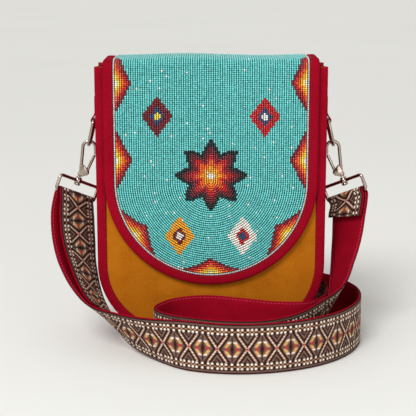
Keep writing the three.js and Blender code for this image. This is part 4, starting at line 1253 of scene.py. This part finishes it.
def strap_ring():
    level = STRAP_RING_LOW - RING_CORNER
    flat = bar_corners(STRAP_RING_HALF, STRAP_RING_TOP)
    flat += arc((-STRAP_RING_HALF + RING_CORNER, level), RING_CORNER, 180, 90, CORNER_STEPS)
    flat += arc((STRAP_RING_HALF - RING_CORNER, level), RING_CORNER, 90, 0, CORNER_STEPS)
    wire = swept([(ring_middle + across * u + pull * drop, WIRE_RADIUS) for u, drop in flat], True)
    spokes = [across * math.cos(turn) + outward * math.sin(turn) for turn in around(TURNED_SIDES)]
    collar = loft([[HOOK_FOOT + spoke * radius + pull * along for radius, along in COLLAR_SECTION]
                   for spoke in spokes], True)
    return joined(wire, collar)


hanging_ring, strap_loop = d_ring(), strap_ring()
print("ring points:", len(hanging_ring[0]), "and", len(strap_loop[0]))

# %% [markdown]
# ## Hooks and gates
# A snap hook hangs in each D-ring by its bent head. A flat gate on a pin closes it, and a swivel post
# at its foot carries the strap's ring.

# %% Hooks and gates
NOSE_TIP = Vector((-114.8, 0, 183.7))
HEAD_CENTRE, HEAD_RADIUS = (-121, 189.2), 6.2
BALL_RADIUS, BALL_END, BALL_TURN = 3, 84, 14
GATE_PIVOT = Vector((-124.2, 0, 163.902))
GATE_HALF_WIDTH, GATE_HALF_THICKNESS = 1.5, 1.0
CHEEK_MIDDLE, CHEEK_THICKNESS, CHEEK_RADIUS, CHEEK_RISE, CHEEK_TIP = 1.95, 1.3, 2.7, 7.5, 1
# Turned pieces as (distance along the axis, radius)
EYE_PROFILE = ((-1.0, 2.1), (-0.8, 2.4), (0.8, 2.4), (1.0, 2.1))
PIN_PROFILE = ((-2.75, 0.3), (-2.6, 0.8), (2.6, 0.8), (2.75, 0.3))
POST_PROFILE = ((3.3, 2.8), (3.5, 3.2), (4.3, 3.2), (4.5, 2.8), (4.6, 1.9), (9.4, 1.9), (9.5, 2.9),
                (9.8, 3.2), (11.4, 3.2), (11.9, 2.3))
# A gate's ends as (distance from the pin or from the tip, share of its thickness)
GATE_ROOT, GATE_TIP = ((1.2, 0.9), (2.0, 1.0)), ((0.8, 1.0), (0.2, 0.85), (0, 0.5))


def hook():
    head = [Vector((x, 0, z)) for x, z in arc(HEAD_CENTRE, HEAD_RADIUS, 0, 180, 20)]
    rod = swept(bent([NOSE_TIP, *head, HOOK_FOOT], WIRE_RADIUS))
    turns = [math.radians(angle) for angle in range(-BALL_END, BALL_END + 1, BALL_TURN)]
    ball = turned(HOOK_FOOT, pull, [(BALL_RADIUS * math.sin(turn), BALL_RADIUS * math.cos(turn))
                                    for turn in turns])
    foot, pivot = (HOOK_FOOT.x, HOOK_FOOT.z), (GATE_PIVOT.x, GATE_PIVOT.z)
    tip = ((foot[0] + pivot[0]) / 2, pivot[1] + CHEEK_RISE - CHEEK_TIP)
    wedge = arc(foot, CHEEK_RADIUS, 175, 265, 6) + arc(pivot, CHEEK_RADIUS, 285, 380, 6)
    wedge += arc(tip, CHEEK_TIP, 30, 160, 5)
    cheeks = [plate(wedge, side * CHEEK_MIDDLE, CHEEK_THICKNESS) for side in (1, -1)]
    return joined(rod, ball, *cheeks)


def gate():
    reach = NOSE_TIP - GATE_PIVOT
    way = reach.normalized()
    flank = way.cross(DEPTH)
    length = reach.length - WIRE_RADIUS - 2 * GAP
    rings = []
    for along, size in (*GATE_ROOT, *((length - back, size) for back, size in GATE_TIP)):
        wide, thick = GATE_HALF_WIDTH * size, GATE_HALF_THICKNESS * size
        rings.append([GATE_PIVOT + way * along + flank * (wide * math.cos(turn))
                      + DEPTH * (thick * math.sin(turn)) for turn in around(WIRE_SIDES)])
    return joined(loft(rings), turned(GATE_PIVOT, DEPTH, EYE_PROFILE))


hardware = {
    "d_ring": hanging_ring, "hook": hook(), "gate_pin": turned(GATE_PIVOT, DEPTH, PIN_PROFILE),
    "swivel_post": turned(HOOK_FOOT, pull, POST_PROFILE), "strap_ring": strap_loop,
}
print("hardware points:", {name: len(points) for name, (points, _) in hardware.items()})

# %% [markdown]
# ## Both sides
# Everything so far is drawn for the left side, and a mirror image serves the right. The gates are
# pieces of their own, because they swing on their pins.

# %% Both sides
def both_sides(name, shape, material, slot, moves=False):
    """The left piece and its mirror image on the right; one that moves rides on a body of its own."""
    points, faces = shape
    for side, turn in (("left_", Vector), ("right_", other_side)):
        node = side + name
        piece = make_piece(node + "_piece", ([turn(point) for point in points], faces), material)
        settle(piece, slot, node, body=node if moves else "bag")


for name, shape in hardware.items():
    both_sides(name, shape, nickel, "nickel_hardware")
both_sides("gate", gate(), nickel, "nickel_hardware", moves=True)
meshes = [thing.data for thing in scene.objects if thing.type == "MESH"]
print("hardware pieces:", sum(nickel.name in mesh.materials for mesh in meshes))

# %% [markdown]
# ## Ring tabs
# A strip of the red cloth goes round each ring's bar, and its two leaves are sewn to the gusset.

# %% Ring tabs
TAB_HALF_WIDTH, TAB_CLOTH, TAB_TOP, TAB_EASE = 8.5, 1.3, 241, 0.4
TAB_STEP, TAB_STEPS, TAB_WRAP, WRAP_STEPS = 4, 6, -215, 16
OUTER_LEAF, LEAF_BEND = (225, 231, 236, TAB_TOP), (0.8, 222.6)

tab_loop = WIRE_RADIUS + GAP + TAB_CLOTH / 2
leaf_x, fold_x = RING_BAR.x + tab_loop, RING_BAR.x + tab_loop - TAB_CLOTH
tab_line = [(leaf_x, TAB_TOP - i * TAB_STEP) for i in range(TAB_STEPS)]
tab_line += arc((RING_BAR.x, RING_BAR.z), tab_loop, 0, TAB_WRAP, WRAP_STEPS)
tab_line += [(fold_x - LEAF_BEND[0], LEAF_BEND[1])] + [(fold_x, level) for level in OUTER_LEAF]


def tab_strip():
    """The strip along its line, with eased edges."""
    wide, flat, half = TAB_HALF_WIDTH, TAB_HALF_WIDTH - TAB_EASE, TAB_CLOTH / 2
    section = [(-wide, 0), (-flat, half), (0, half), (flat, half), (wide, 0), (flat, -half), (0, -half),
               (-flat, -half)]
    rings = []
    for i, (x, z) in enumerate(tab_line):
        (ax, az), (bx, bz) = tab_line[max(i - 1, 0)], tab_line[min(i + 1, len(tab_line) - 1)]
        out = Vector((bz - az, 0, ax - bx)).normalized()
        rings.append([Vector((x, y, z)) + out * h for y, h in section])
    return loft(rings)


both_sides("ring_tab", tab_strip(), red_twill, "red_cloth")
print("tab line points:", len(tab_line))
